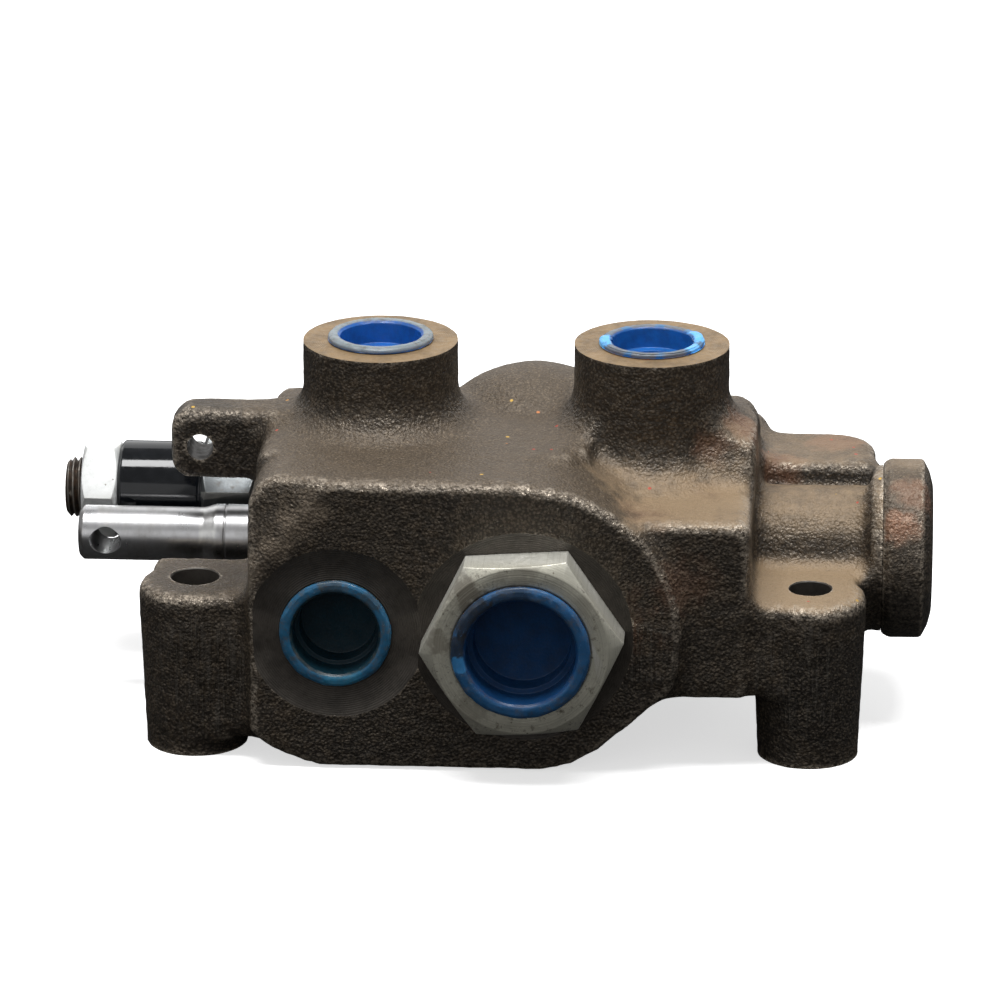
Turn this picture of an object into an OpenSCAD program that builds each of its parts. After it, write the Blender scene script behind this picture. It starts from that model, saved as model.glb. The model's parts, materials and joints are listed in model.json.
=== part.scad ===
// Hydraulic monoblock valve, single spool, parallel relief cartridge, spring-centred.
// Millimetres, +Z up, the front (ports) faces -Y, the spool runs along X.
// Origin: on the mounting face, midway between the work ports, under the spool axis.

/* [Casting] */
// Distance between the two work ports
work_spacing = 69.4; // [60:0.2:80]
// Outside radius of a work-port boss
work_boss_r = 19.95; // [16:0.05:24]
// Height of the work-port faces
work_z = 97.4; // [88:0.2:106]
// Height of the flat top of the casting
top_z = 76.8; // [70:0.2:82]
// Height of the spool axis
spool_z = 43.4; // [38:0.2:48]
// Height of the inlet and outlet port axes
port_z = 36.5; // [32:0.1:40]
// Front port face, distance in front of the spool axis
front_y = 52.6; // [48:0.2:60]
// Back face, distance behind the spool axis
back_y = 33; // [28:0.5:40]
// Left end of the casting
left_x = 64.8; // [60:0.2:70]
// Right end of the main block
right_x = 62.5; // [58:0.5:68]
// Inlet port position along the spool
inlet_x = -42.5; // [-48:0.5:-36]
// Outlet port position along the spool
outlet_x = 4.6; // [0:0.2:10]
// Outside radius of the casting round the outlet port
outlet_boss_r = 39.6; // [34:0.5:44]
// Height of the lower step at the front right
step_z = 66; // [58:0.2:72]
// Underside of that step
step_under_z = 18.8; // [10:0.2:30]

/* [Mounting legs] */
// Left mounting hole position along the spool
leg_left_x = -79.8; // [-86:0.2:-74]
// Right mounting hole position along the spool
leg_right_x = 76.2; // [70:0.2:82]
// Mounting holes, distance in front of the spool axis
leg_y = 32.2; // [28:0.2:38]
// Radius of a mounting leg at its pad
leg_r = 14.5; // [12:0.1:18]
// Height of the pads, where the bolt heads sit
pad_z = 43.7; // [36:0.5:48]
// Radius of the left mounting hole
hole_left_r = 6.1; // [4:0.05:7]
// Radius of the right mounting hole
hole_right_r = 5.3; // [4:0.05:7]

/* [Handle lug] */
// Lug thickness
lug_t = 12.7; // [8:0.1:16]
// Lug hole position along the spool
lug_x = -80.9; // [-86:0.2:-76]
// Lug hole height
lug_z = 69.3; // [64:0.2:74]
// Radius of the lug hole
lug_hole_r = 3.43; // [2.5:0.01:5]

/* [Spool] */
// Radius of the spool bore
bore_r = 8.0; // [6:0.05:10]
// Running clearance on radius between spool and bore
spool_clear = 0.05; // [0.02:0.01:0.1]
// Radius of the drilled tang
tang_r = 7.05; // [5:0.05:8]
// Tip of the tang, distance from the middle
tang_tip_x = 113.1; // [100:0.5:125]
// Radius of the cross hole in the tang
tang_hole_r = 3.7; // [2:0.05:5]
// Travel of the spool to each side
spool_travel = 8; // [4:0.5:10]

/* [Spring end] */
// Outside radius of the end cap
cap_r = 23.1; // [20:0.1:26]
// Left face of the end cap
cap_x = 94.2; // [90:0.2:98]
// Right face of the end cap
cap_end_x = 107.2; // [102:0.2:112]
// Outside radius of the spring housing
housing_r = 16; // [14:0.1:20]
// Radius of the spring chamber
chamber_r = 12; // [10:0.1:13]

/* [Relief valve] */
// Relief axis, distance behind the spool axis
relief_y = 28; // [24:0.2:34]
// Height of the relief axis
relief_z = 45.9; // [40:0.2:50]
// Radius of the black sleeve
sleeve_r = 12.6; // [10:0.1:14]
// Locknut, across flats
locknut_af = 23.8; // [18:0.1:28]
// Collar, across flats
collar_af = 28.6; // [24:0.1:32]
// Radius of the adjusting screw
screw_r = 7.9; // [5:0.05:9]

/* [Outlet adapter and plugs] */
// Adapter hexagon, across flats
adapter_af = 44.45; // [38:0.05:50]
// Thickness of the adapter's hexagon
adapter_t = 10.3; // [8:0.1:14]
// Turn of the adapter's hexagon about its own axis
adapter_turn = 56; // [0:0.5:60]
// Flange radius of the work-port plugs
plug_work_r = 13.7; // [12:0.1:16]
// Flange radius of the inlet plug
plug_inlet_r = 14.3; // [13:0.1:17]
// Flange radius of the outlet plug
plug_outlet_r = 17.2; // [16:0.1:19]

/* [Hidden] */
$fn = 96;
wx = work_spacing / 2;
face_y = -front_y;
boss_r = 17.5;          // casting round the relief bore
relief_face_x = -69;    // spotface the relief collar sits on
sleeve_x0 = -105.4;     // left end of the black sleeve
collar_x0 = -83.2;      // left end of the relief collar
nut_x0 = -115.1;        // left face of the locknut
screw_x0 = -119.8;      // left end of the adjusting screw
check_z = 59;           // height of the load-check axis
spool_end_x = 66;       // right end of the spool
gallery_z = 20;         // height of the return gallery
spring_r = 9.9;         // mean radius of the centring spring
spring_wire = 1.15;     // wire radius of the centring spring
spot = 0.6;             // depth of the port spotfaces
foot_y = 7.4;           // back of the block's flat underside
bolt_end_x = 97.2;      // right end of the spool bolt's head, at rest
cap_pocket = bolt_end_x + spool_travel + 0.4 - cap_x; // pocket in the cap, clear of the bolt's travel
step_under_y = -48.5;   // front face of the step
// annuli along the spool bore: position, half width, radius
annuli = [[-47, 2.5, 11], [-wx, 3.5, 11], [-24, 2, 11.4], [-11, 2, 9.6], [0, 4, 9.6],
    [11, 2, 9.6], [24, 2, 11.4], [wx, 3.5, 11], [47, 2.5, 11]];

// ---- helpers ----
module along_x(x, y = 0, z = 0) { translate([x, y, z]) rotate([0, 90, 0]) children(); }
module along_y(x, y, z) { translate([x, y, z]) rotate([-90, 0, 0]) children(); }

module cyl_x(x0, x1, r, y = 0, z = 0) { along_x(x0, y, z) cylinder(h = x1 - x0, r = r); }
module cyl_y(y0, y1, r, x = 0, z = 0) { along_y(x, y0, z) cylinder(h = y1 - y0, r = r); }
module cone_x(x0, x1, r0, r1, y = 0, z = 0) { along_x(x0, y, z) cylinder(h = x1 - x0, r1 = r0, r2 = r1); }

module rrect(a0, a1, b0, b1, r) {
    translate([a0 + r, b0]) square([a1 - a0 - 2 * r, b1 - b0]);
    translate([a0, b0 + r]) square([a1 - a0, b1 - b0 - 2 * r]);
    for (a = [a0 + r, a1 - r], b = [b0 + r, b1 - r]) translate([a, b]) circle(r);
}

// block rounded on the edges that run front to back and on those that run up and down
module rblock(x0, x1, y0, y1, z0, z1, r, rv) {
    intersection() {
        translate([0, y1, 0]) rotate([90, 0, 0]) linear_extrude(y1 - y0) rrect(x0, x1, z0, z1, r);
        translate([0, 0, z0 - 1]) linear_extrude(z1 - z0 + 2) rrect(x0, x1, y0, y1, rv);
    }
}

// turned ring about the X axis, given inner and outer radius
module ring_x(x0, x1, ri, ro) {
    along_x(x0) rotate_extrude() translate([ri, 0]) square([ro - ri, x1 - x0]);
}

module torus(rc, rw) { rotate_extrude() translate([rc, 0]) circle(rw, $fn = 32); }

// helical spring along +Z, swept circle, dead ends on both sides
module helix(h, rc, rw, turns, steps = 20, sides = 6) {
    n = turns * steps;
    pts = [for (i = [0:n]) let (t = i / steps * 360, z = rw + (h - 2 * rw) * i / n)
        for (k = [0:sides - 1]) let (a = k * 360 / sides, rr = rc + rw * cos(a))
            [rr * cos(t), rr * sin(t), z + rw * 0.98 * sin(a)]];
    sidesf = [for (i = [0:n - 1], k = [0:sides - 1]) let (k2 = (k + 1) % sides)
        [i * sides + k, (i + 1) * sides + k, (i + 1) * sides + k2, i * sides + k2]];
    tris = [for (f = sidesf) each [[f[0], f[1], f[2]], [f[0], f[2], f[3]]]];
    cap0 = [for (k = [1:sides - 2]) [0, k, k + 1]];
    cap1 = [for (k = [1:sides - 2]) [n * sides, n * sides + k + 1, n * sides + k]];
    polyhedron(points = pts, faces = concat(tris, cap0, cap1), convexity = 12);
}

module hexagon(af, h, turn = 0) { rotate([0, 0, turn]) cylinder(h = h, r = af / 2 / cos(30), $fn = 6); }

// hexagon chamfered to a circle on its lower face, and on its upper face too if both, along +Z
module hex_nut(af, h, turn = 0, both = true) {
    far = af / 2 / cos(30) + 0.5;
    near = af / 2 - 0.4;
    k = (far - near) * tan(30);
    intersection() {
        hexagon(af, h, turn);
        rotate_extrude() polygon([[0, 0], [near, 0], [far, k],
            [far, both ? h - k : h], [both ? near : far, h], [0, h]]);
    }
}

// ---- casting ----
// concave flare of radius f round a work-port boss, standing t thick at height z
module flare(f, t, z) {
    translate([0, 0, z]) rotate_extrude() difference() {
        square([work_boss_r + f, f + t]);
        translate([work_boss_r + f, f + t]) circle(f + 0.03);
    }
}

module work_boss(x) {
    translate([x, 0, spool_z]) cylinder(h = work_z - spool_z, r = work_boss_r);
    // the flare stops where the flat top of the casting stops
    intersection() {
        translate([x, 0, 0]) flare(9, 1.5, top_z - 1.5);
        translate([-left_x, -60, 60]) cube([left_x + 19.6, 120, 40]);
    }
    intersection() {
        translate([x, 0, 0]) flare(9, 1.5, top_z - 1.5);
        translate([19.5, -15, 60]) cube([right_x - 19.6, 60, 40]);
    }
}

module front_block() {
    // flat front face, round about the outlet port; its underside is part of the mounting face
    translate([0, foot_y, 0]) rotate([90, 0, 0]) linear_extrude(foot_y - face_y) intersection() {
        union() {
            rrect(-left_x, outlet_x, 0, top_z, 10);
            translate([outlet_x - 30, 0]) square([30, top_z]);
            translate([outlet_x, port_z]) circle(outlet_boss_r);
        }
        // lower corners cut back
        polygon([[-left_x, top_z], [-left_x, 9.6], [-left_x + 3.4, 6], [-left_x + 8.9, 2.9],
            [-left_x + 15, 0.6], [-left_x + 19, 0], [outlet_x + 5, 0], [outlet_x + 12, 1.7],
            [outlet_x + 19.5, 6], [outlet_x + 36.4, 21.2], [outlet_x + 60, 45], [outlet_x + 60, top_z]]);
    }
}

// facet that leans back across the upper left corner of the port face
module corner_facet() {
    translate([-57, face_y, 66.5]) rotate([0, -51, 0]) rotate([-9, 0, 0])
        translate([-30, -20, 0]) cube([60, 20, 40]);
}

module leg(x, side) {
    // draft: a little slimmer at the foot
    translate([x, -leg_y - 1.2, 0]) cylinder(h = pad_z, r1 = leg_r - 1.6, r2 = leg_r);
    if (side > 0) translate([x - 15.4, -leg_y - 14.2, step_under_z])
        cube([15.4, 26, pad_z - step_under_z]);
    // web back towards the spool line
    translate([x - 12, -leg_y, 8]) cube([24, side > 0 ? 24 : 16, pad_z - 8.01]);
}

module casting() {
    front_block();
    // main block round the spool
    rblock(-left_x, outlet_x + 14, -30, back_y - 8, 10, top_z, 6, 6);
    rblock(-left_x + 1, right_x, -13, back_y - 8, 10, top_z - 0.1, 6.5, 6.5);
    // rear gallery and relief housing
    rblock(-left_x - 0.2, 66, 6, back_y + 12, 14, 67, 9, 10);
    cyl_x(relief_face_x, -30, boss_r, relief_y, relief_z);
    // ledge behind the spring housing
    rblock(50, 92.6, 8, 35, 36, 62.2, 2, 11);
    // hump between the work ports, over the load check
    intersection() {
        translate([4, 22, top_z - 20]) cylinder(h = 30, r = 20);
        translate([4, 22, top_z - 25.2]) sphere(32, $fn = 96);
    }
    // boss for the load-check plug, in the back face
    cyl_y(20, back_y + 11.9, 13.3, 0, check_z);
    // work-port bosses
    for (s = [-1, 1]) work_boss(s * wx);
    // the same boss runs down to the step in front, with a wider flare
    intersection() {
        translate([wx, 0, 0]) flare(12, 2, step_z - 2);
        translate([16, -45, 50]) cube([right_x - 16.7, 48, 40]);
    }
    // lower step at the front right
    rblock(20, 61.4, step_under_y, 0, step_under_z, step_z, 3, 3);
    // slope from the flat top down to the step
    translate([21, 0, 0]) rotate([90, 0, 90]) linear_extrude(right_x - 21.7)
        polygon([[-10, 62], [-21, 62], [-21, step_z + 0.3], [-14.8, top_z - 1.2], [-10, top_z - 1.2]]);
    // spring housing, end boss and spigot for the cap
    along_x(0, 0, spool_z) rotate_extrude() polygon([
        [0, 50], [housing_r, 50], [housing_r, 90.2], [21.6, 91.8], [21.6, cap_x], [17.8, cap_x],
        [17.8, 95.6], [15.6, 95.6], [15.6, 98.2], [17.8, 98.2], [17.8, 101.2], [0, 101.2]]);
    // legs
    leg(leg_left_x, -1);
    leg(leg_right_x, 1);
    // tie from the left leg to the block
    translate([leg_left_x, -leg_y - 14.2, 5]) cube([-left_x - leg_left_x + 4, 28, pad_z - 5]);
    // handle lug
    translate([0, lug_t / 2, 0]) rotate([90, 0, 0]) linear_extrude(lug_t)
        rrect(-88.6, -left_x + 8, 60.1, 78.8, 5);
    // round stub in the left face, where the spool comes out
    cyl_x(-left_x - 0.01, -40, 13.5, 0, spool_z);
}

// everything turned on the spool axis: wiper seat, seal grooves, annuli, spring chamber
module spool_line() {
    along_x(0, 0, spool_z) rotate_extrude() polygon([
        [0, -left_x - 1], [10.2, -left_x - 1], [10.2, -left_x + 2.2], [bore_r, -left_x + 2.2],
        [bore_r, -61.6], [10.8, -61.6], [10.8, -57.4], [bore_r, -57.4],
        for (a = annuli) each [[bore_r, a[0] - a[1]], [a[2], a[0] - a[1]],
            [a[2], a[0] + a[1]], [bore_r, a[0] + a[1]]],
        [bore_r, 57.6], [10.8, 57.6], [10.8, 61.8], [bore_r, 61.8],
        [bore_r, spool_end_x + 0.4], [chamber_r, spool_end_x + 0.4], [chamber_r, 103], [0, 103]]);
}

module spool_bores() {
    spool_line();
    for (s = [-1, 1]) {
        // work ports: thread, then a narrower passage down to the annulus
        translate([s * wx, 0, 0]) rotate_extrude() polygon([
            [0, spool_z + 3], [6.9, spool_z + 3], [6.9, work_z - 22], [11.1, work_z - 19],
            [11.1, work_z + 2], [0, work_z + 2]]);
        // return legs down to the gallery, from the end annuli and the open centre
        translate([s * 47, 0, gallery_z + 1]) cylinder(h = spool_z - gallery_z - 8, r = 3);
        translate([s * 11, 0, gallery_z + 1]) cylinder(h = spool_z - gallery_z - 8, r = 1.9);
    }
    cyl_x(-50.4, 50.4, 6.5, 0, gallery_z);
}

module port_bores() {
    // inlet port and its passages
    cyl_y(face_y - 1, face_y + spot, 21.9, inlet_x, port_z);
    cyl_y(face_y - 1, face_y + 20, 13.2, inlet_x, port_z);
    cyl_y(face_y + 10, -20, 8, inlet_x, port_z);
    translate([inlet_x, -21, port_z]) cylinder(h = 26, r = 5.6);
    cyl_x(inlet_x, 1, 4.8, -21, 59);
    cyl_y(-26, 10, 4.1, 0, check_z);
    translate([0, -21, 45]) cylinder(h = 12, r = 3.5);
    cyl_y(-22, -8, 3, 0, spool_z + 1.6);
    cyl_x(inlet_x, -17, 2.4, -23, 31.4);
    cyl_y(-26, relief_y + 1.5, 2.8, -17.5, 31.4);
    translate([-17.5, relief_y, 30]) cylinder(h = relief_z - 30, r = 2.5);
    // outlet port and return
    cyl_y(face_y - 1, face_y + spot, 27.3, outlet_x, port_z);
    cyl_y(face_y - 1, face_y + 22, 19.2, outlet_x, port_z);
    along_y(outlet_x, face_y + spot - 0.01, port_z) cylinder(h = 2.6, r1 = 21.6, r2 = 19.2);
    cyl_y(face_y + 20, -26, 13, outlet_x, port_z);
    cyl_y(-32, 0, 6, outlet_x, gallery_z + 0.4);
}

module rear_bores() {
    // relief bore
    cyl_x(relief_face_x - 1, -44, 10.6, relief_y, relief_z);
    cyl_x(-45, -31.8, 8, relief_y, relief_z);
    cyl_x(-33, -16, 4, relief_y, relief_z);
    // load-check bore, from the back
    cyl_y(9, back_y + 20, 8.2, 0, check_z);
    cyl_y(30, back_y + 20, 10, 0, check_z);
    cyl_y(back_y + 11.4, back_y + 20, 14, 0, check_z);
    translate([0, 13.5, spool_z + 4]) cylinder(h = check_z - spool_z - 4, r = 2.7);
    cyl_x(-25.5, 25.5, 3, 13.5, spool_z + 4.6);
}

module outside_holes() {
    // mounting holes
    translate([leg_left_x, -leg_y, -1]) cylinder(h = 60, r = hole_left_r);
    translate([leg_right_x, -leg_y, -1]) cylinder(h = 60, r = hole_right_r);
    // room above the pads
    translate([leg_left_x - 16, -leg_y - 20, pad_z]) cube([30.9, 46, 12]);
    // lug hole
    cyl_y(-20, 20, lug_hole_r, lug_x, lug_z);
}

module valve_body() {
    color("#3a332f") difference() {
        casting();
        corner_facet();
        spool_bores();
        port_bores();
        rear_bores();
        outside_holes();
    }
}

// ---- spool and its spring end ----
module spool() {
    sr = bore_r - spool_clear;
    color("#b9bcbf") difference() {
        union() {
            cone_x(-tang_tip_x, -tang_tip_x + 1.2, tang_r - 1.1, tang_r, 0, spool_z);
            cyl_x(-tang_tip_x + 1.2, -80.6, tang_r, 0, spool_z);
            cone_x(-80.6, -77.6, tang_r, sr, 0, spool_z);
            cyl_x(-77.6, spool_end_x, sr, 0, spool_z);
        }
        // cross hole for the handle pin
        cyl_y(-20, 20, tang_hole_r, -tang_tip_x + 7.2, spool_z);
        // fine groove at the dirt line
        ring_cut(-75.3, -74.7, sr - 0.25);
        // metering grooves
        for (s = [-1, 1]) {
            ring_cut(s * 35 - 5, s * 35 + 5, 5.2);
            ring_cut(s * 7.5 - 5, s * 7.5 + 5, 5.2);
        }
        // thread for the spool bolt
        cyl_x(spool_end_x - 16, spool_end_x + 1, 3.1, 0, spool_z);
    }
}

module ring_cut(x0, x1, ri) {
    difference() {
        cyl_x(x0, x1, 12, 0, spool_z);
        cyl_x(x0 - 1, x1 + 1, ri, 0, spool_z);
    }
}

module spool_seal_left() {
    color("#1c1c1c") translate([0, 0, spool_z]) ring_x(-61.5, -57.5, bore_r + 0.03, 10.75);
}

module spool_seal_right() {
    color("#1c1c1c") translate([0, 0, spool_z]) ring_x(57.7, 61.7, bore_r + 0.03, 10.75);
}

module spool_wiper() {
    color("#26241f") translate([0, 0, spool_z]) along_x(-left_x) rotate_extrude()
        polygon([[8.06, 0.2], [8.6, -0.0], [10.15, 0], [10.15, 2.15], [8.5, 2.15]]);
}

module end_cap() {
    color("#3d3430") translate([0, 0, spool_z]) along_x(cap_x) rotate_extrude() polygon([
        [17.9, 0.1], [cap_r - 1.1, 0.1], [cap_r, 2], [cap_r, cap_end_x - cap_x - 2.5],
        [cap_r - 3.2, cap_end_x - cap_x - 0.9], [cap_r - 7, cap_end_x - cap_x],
        [0, cap_end_x - cap_x], [0, cap_pocket], [8, cap_pocket],
        [8, 7.2], [17.9, 7.2]]);
}

module cap_oring() {
    color("#181818") along_x(96.9, 0, spool_z) torus(16.75, 1.12);
}

module collar_inner() {
    color("#8d8f90") translate([0, 0, spool_z]) ring_x(spool_end_x + 0.45, spool_end_x + 2.2, 8.15, 11.9);
}

module collar_outer() {
    color("#8d8f90") translate([0, 0, spool_z]) ring_x(91, 93, 3.15, 11.4);
}

module centring_spring() {
    color("#6f7375") along_x(spool_end_x + 2.22, 0, spool_z)
        helix(90.98 - spool_end_x - 2.22, spring_r, spring_wire, 5.5);
}

module spool_spacer() {
    color("#9a9c9e") translate([0, 0, spool_z]) ring_x(spool_end_x, 91, 3.15, 5);
}

module spool_bolt() {
    color("#2b2b2d") {
        cyl_x(spool_end_x - 14, 93.01, 3.05, 0, spool_z);
        along_x(93, 0, spool_z) hex_nut(10, bolt_end_x - 93);
    }
}

// ---- relief valve ----
module at_relief(x) { along_x(x, relief_y, relief_z) children(); }

module relief_collar() {
    color("#a9a99f") difference() {
        union() {
            at_relief(collar_x0) hex_nut(collar_af, relief_face_x - collar_x0, 13.4);
            at_relief(relief_face_x - 0.01) cylinder(h = 22, r = 10.5);
        }
        at_relief(collar_x0 - 1) cylinder(h = 50, r = 7);
        at_relief(collar_x0 - 1) cylinder(h = 9, r = 10.1);
        at_relief(-64.2) rotate_extrude() translate([8.9, 0]) square([3, 2.6]);
    }
}

module relief_sleeve() {
    color("#15161a") difference() {
        union() {
            at_relief(sleeve_x0) cylinder(h = 0.8, r1 = sleeve_r - 0.8, r2 = sleeve_r);
            at_relief(sleeve_x0 + 0.8) cylinder(h = collar_x0 - sleeve_x0 - 0.8, r = sleeve_r);
            at_relief(collar_x0 - 0.01) cylinder(h = 7.5, r = 10);
        }
        at_relief(sleeve_x0 - 1) cylinder(h = 12, r = screw_r + 0.1);
        at_relief(sleeve_x0 + 6) cylinder(h = 40, r = 8.6);
    }
}

module relief_locknut() {
    color("#c3c5bd") difference() {
        at_relief(nut_x0) hex_nut(locknut_af, sleeve_x0 - nut_x0 - 0.2, 23);
        at_relief(nut_x0 - 1) cylinder(h = 20, r = screw_r + 0.08);
    }
}

module relief_screw() {
    // thread shown as fine parallel grooves
    pitch = 1.6;
    color("#221f1d") difference() {
        union() {
            at_relief(screw_x0) cylinder(h = 0.9, r1 = screw_r - 0.9, r2 = screw_r);
            at_relief(screw_x0 + 0.9) cylinder(h = 21, r = screw_r);
        }
        for (i = [0:11]) at_relief(screw_x0 + 1.5 + i * pitch) rotate_extrude()
            polygon([[screw_r + 0.2, -0.65], [screw_r - 0.65, 0], [screw_r + 0.2, 0.65]]);
        at_relief(screw_x0 - 1) hexagon(6.35, 6, 15);
    }
}

module relief_guide() {
    color("#7c7e80") {
        at_relief(screw_x0 + 22.2) cylinder(h = 3, r = 6.6);
        at_relief(screw_x0 + 25.19) cylinder(h = 5, r = 2.6);
    }
}

module relief_spring() {
    color("#5b5e61") at_relief(screw_x0 + 25.22) helix(-53.6 - screw_x0 - 25.26, 4.6, 1.05, 9, 18);
}

module relief_poppet() {
    color("#b4b6b8") {
        at_relief(-53.6) cylinder(h = 3, r = 6.5);
        at_relief(-50.61) cylinder(h = 6.4, r = 4);
        at_relief(-44.22) cylinder(h = 3.32, r1 = 4, r2 = 2.4);
    }
}

module relief_seat() {
    color("#9b9d9f") difference() {
        at_relief(-43.9) cylinder(h = 11.8, r = 7.9);
        at_relief(-45) cylinder(h = 20, r = 2.6);
        at_relief(-43.91) cylinder(h = 3.2, r1 = 4.1, r2 = 2.6);
    }
}

module relief_oring() {
    color("#181818") at_relief(-62.9) torus(9.75, 0.82);
}

// ---- load check, in the back face ----
module check_poppet() {
    color("#aeb0b2") difference() {
        union() {
            along_y(0, 5.2, check_z) cylinder(h = 3.9, r1 = 1.6, r2 = 3.9);
            along_y(0, 9.4, check_z) cylinder(h = 9, r = 6.6);
            along_y(0, 9.05, check_z) cylinder(h = 0.4, r = 3.9);
        }
        along_y(0, 12, check_z) cylinder(h = 10, r = 4.6);
    }
}

module check_spring() {
    color("#5b5e61") along_y(0, 12.03, check_z) helix(15.9, 3.6, 0.6, 6, 18);
}

module check_plug() {
    depth = back_y + 12;
    color("#4a4c4e") difference() {
        union() {
            along_y(0, 28, check_z) cylinder(h = depth - 28 - 0.7, r = 8.1);
            along_y(0, 30.3, check_z) cylinder(h = depth - 30.3 - 0.7, r = 9.9);
            along_y(0, depth - 0.6, check_z) cylinder(h = 4, r1 = 13, r2 = 12.2);
            along_y(0, depth - 2, check_z) cylinder(h = 2, r = 9.9);
        }
        along_y(0, depth - 5, check_z) hexagon(9.5, 12, 10);
        along_y(0, depth - 3.4, check_z) rotate_extrude() translate([8.2, 0]) square([3, 2.3]);
    }
}

module check_oring() {
    color("#181818") along_y(0, back_y + 9.75, check_z) torus(9.05, 0.82);
}

// ---- outlet adapter and plugs ----
module outlet_adapter() {
    y0 = face_y - adapter_t;
    color("#a8a797") difference() {
        union() {
            along_y(outlet_x, y0, port_z)
                hex_nut(adapter_af, adapter_t + spot, adapter_turn, false);
            along_y(outlet_x, face_y + spot - 0.01, port_z) cylinder(h = 18, r = 18.9);
        }
        along_y(outlet_x, y0 - 1, port_z) cylinder(h = 24, r = 16.2);
        along_y(outlet_x, y0 - 1, port_z) cylinder(h = 60, r = 12.5);
        along_y(outlet_x, y0 - 0.01, port_z) cylinder(h = 1.6, r1 = 17.8, r2 = 16.2);
    }
}

module adapter_oring() {
    color("#181818") along_y(outlet_x, face_y + spot + 0.8, port_z) torus(19.75, 0.77);
}

// cap plug along +Z: rim on the port face, hollow body below it
module port_plug(rim_r, rim_t, body_r, body_l, in_r, floor_r, depth) {
    difference() {
        union() {
            rotate_extrude() polygon([[body_r - 2, 0.02], [rim_r - 0.5, 0.02], [rim_r, 0.5],
                [rim_r, rim_t - 0.7], [rim_r - 0.8, rim_t], [body_r - 2, rim_t]]);
            translate([0, 0, -body_l]) cylinder(h = body_l + 0.5, r1 = body_r - 0.4, r2 = body_r);
        }
        translate([0, 0, -depth]) cylinder(h = depth + rim_t + 1, r = floor_r);
        translate([0, 0, -depth * 0.55]) cylinder(h = depth + rim_t + 1, r = in_r);
    }
}

module plug_work_a() {
    color("#1f6fd0") translate([-wx, 0, work_z]) port_plug(plug_work_r, 1.8, 10.9, 14, 10, 7.7, 8);
}

module plug_work_b() {
    color("#1f6fd0") translate([wx, 0, work_z]) port_plug(plug_work_r, 1.8, 10.9, 14, 10, 7.7, 8);
}

module plug_inlet() {
    color("#2a7ab8") translate([inlet_x, face_y + spot, port_z]) rotate([90, 0, 0])
        port_plug(plug_inlet_r, 1.8, 12.9, 16, 11.2, 9.6, 11);
}

module plug_outlet() {
    color("#1d66c4") translate([outlet_x, face_y - adapter_t, port_z]) rotate([90, 0, 0])
        port_plug(plug_outlet_r + 0.4, 1.8, 15.9, 18, 13.8, 12.2, 12);
}

valve_body();
spool();
spool_seal_left();
spool_seal_right();
spool_wiper();
end_cap();
cap_oring();
collar_inner();
collar_outer();
centring_spring();
spool_spacer();
spool_bolt();
relief_collar();
relief_sleeve();
relief_locknut();
relief_screw();
relief_seat();
relief_poppet();
relief_spring();
relief_guide();
relief_oring();
check_poppet();
check_spring();
check_plug();
check_oring();
outlet_adapter();
adapter_oring();
plug_work_a();
plug_work_b();
plug_inlet();
plug_outlet();
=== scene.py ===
# Hydraulic monoblock valve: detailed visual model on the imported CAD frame.
import json
import math
import random

import bmesh
import bpy
import numpy as np
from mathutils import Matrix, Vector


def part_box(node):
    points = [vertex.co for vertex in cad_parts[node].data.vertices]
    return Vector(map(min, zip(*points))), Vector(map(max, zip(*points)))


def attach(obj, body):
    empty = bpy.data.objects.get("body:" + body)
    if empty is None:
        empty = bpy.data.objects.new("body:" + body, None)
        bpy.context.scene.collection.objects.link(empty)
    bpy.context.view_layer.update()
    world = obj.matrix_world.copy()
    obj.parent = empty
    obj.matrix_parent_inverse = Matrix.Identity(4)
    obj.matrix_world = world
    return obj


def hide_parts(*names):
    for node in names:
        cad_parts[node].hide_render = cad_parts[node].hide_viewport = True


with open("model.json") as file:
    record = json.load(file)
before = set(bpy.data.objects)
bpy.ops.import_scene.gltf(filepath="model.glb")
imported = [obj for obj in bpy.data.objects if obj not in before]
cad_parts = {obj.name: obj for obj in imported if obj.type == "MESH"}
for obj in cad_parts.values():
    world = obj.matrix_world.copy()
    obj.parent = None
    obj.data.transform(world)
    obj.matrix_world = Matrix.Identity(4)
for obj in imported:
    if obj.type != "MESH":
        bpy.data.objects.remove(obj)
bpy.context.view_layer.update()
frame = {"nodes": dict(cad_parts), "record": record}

import openvdb as vdb
from mathutils import Matrix, Vector, noise

MM = 0.001
rng = random.Random(11)
scene = bpy.context.scene
mount = {m["name"]: Vector(m["pos_m"]) / MM for m in frame["record"]["mounts"]}


def box(node):
    lo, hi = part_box(node)
    return lo / MM, hi / MM


def mid(node):
    lo, hi = box(node)
    return (lo + hi) / 2


# ------------------------------------------------------------------ meshes (all in mm, stored in m)
def mesh_object(name, verts, faces, smooth=40):
    me = bpy.data.meshes.new(name)
    me.from_pydata([tuple(c * MM for c in v) for v in verts], [], faces)
    me.validate()
    ob = bpy.data.objects.new(name, me)
    scene.collection.objects.link(ob)
    return shade(ob, smooth)


def shade(ob, angle=40):
    me = ob.data
    me.polygons.foreach_set("use_smooth", [True] * len(me.polygons))
    me.set_sharp_from_angle(angle=math.radians(angle))
    return ob


# for each direction: along it, then u and v across it
AXES = {"+X": ((1, 0, 0), (0, 1, 0), (0, 0, 1)), "-X": ((-1, 0, 0), (0, 0, 1), (0, 1, 0)),
        "+Y": ((0, 1, 0), (0, 0, 1), (1, 0, 0)), "-Y": ((0, -1, 0), (1, 0, 0), (0, 0, 1)),
        "+Z": ((0, 0, 1), (1, 0, 0), (0, 1, 0)), "-Z": ((0, 0, -1), (0, 1, 0), (1, 0, 0))}


def place(axis, at, a, u, v):
    """point at a along the axis from at, and u and v across it"""
    d, e, f = AXES[axis]
    return tuple(at[i] + d[i] * a + e[i] * u + f[i] * v for i in range(3))


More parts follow.
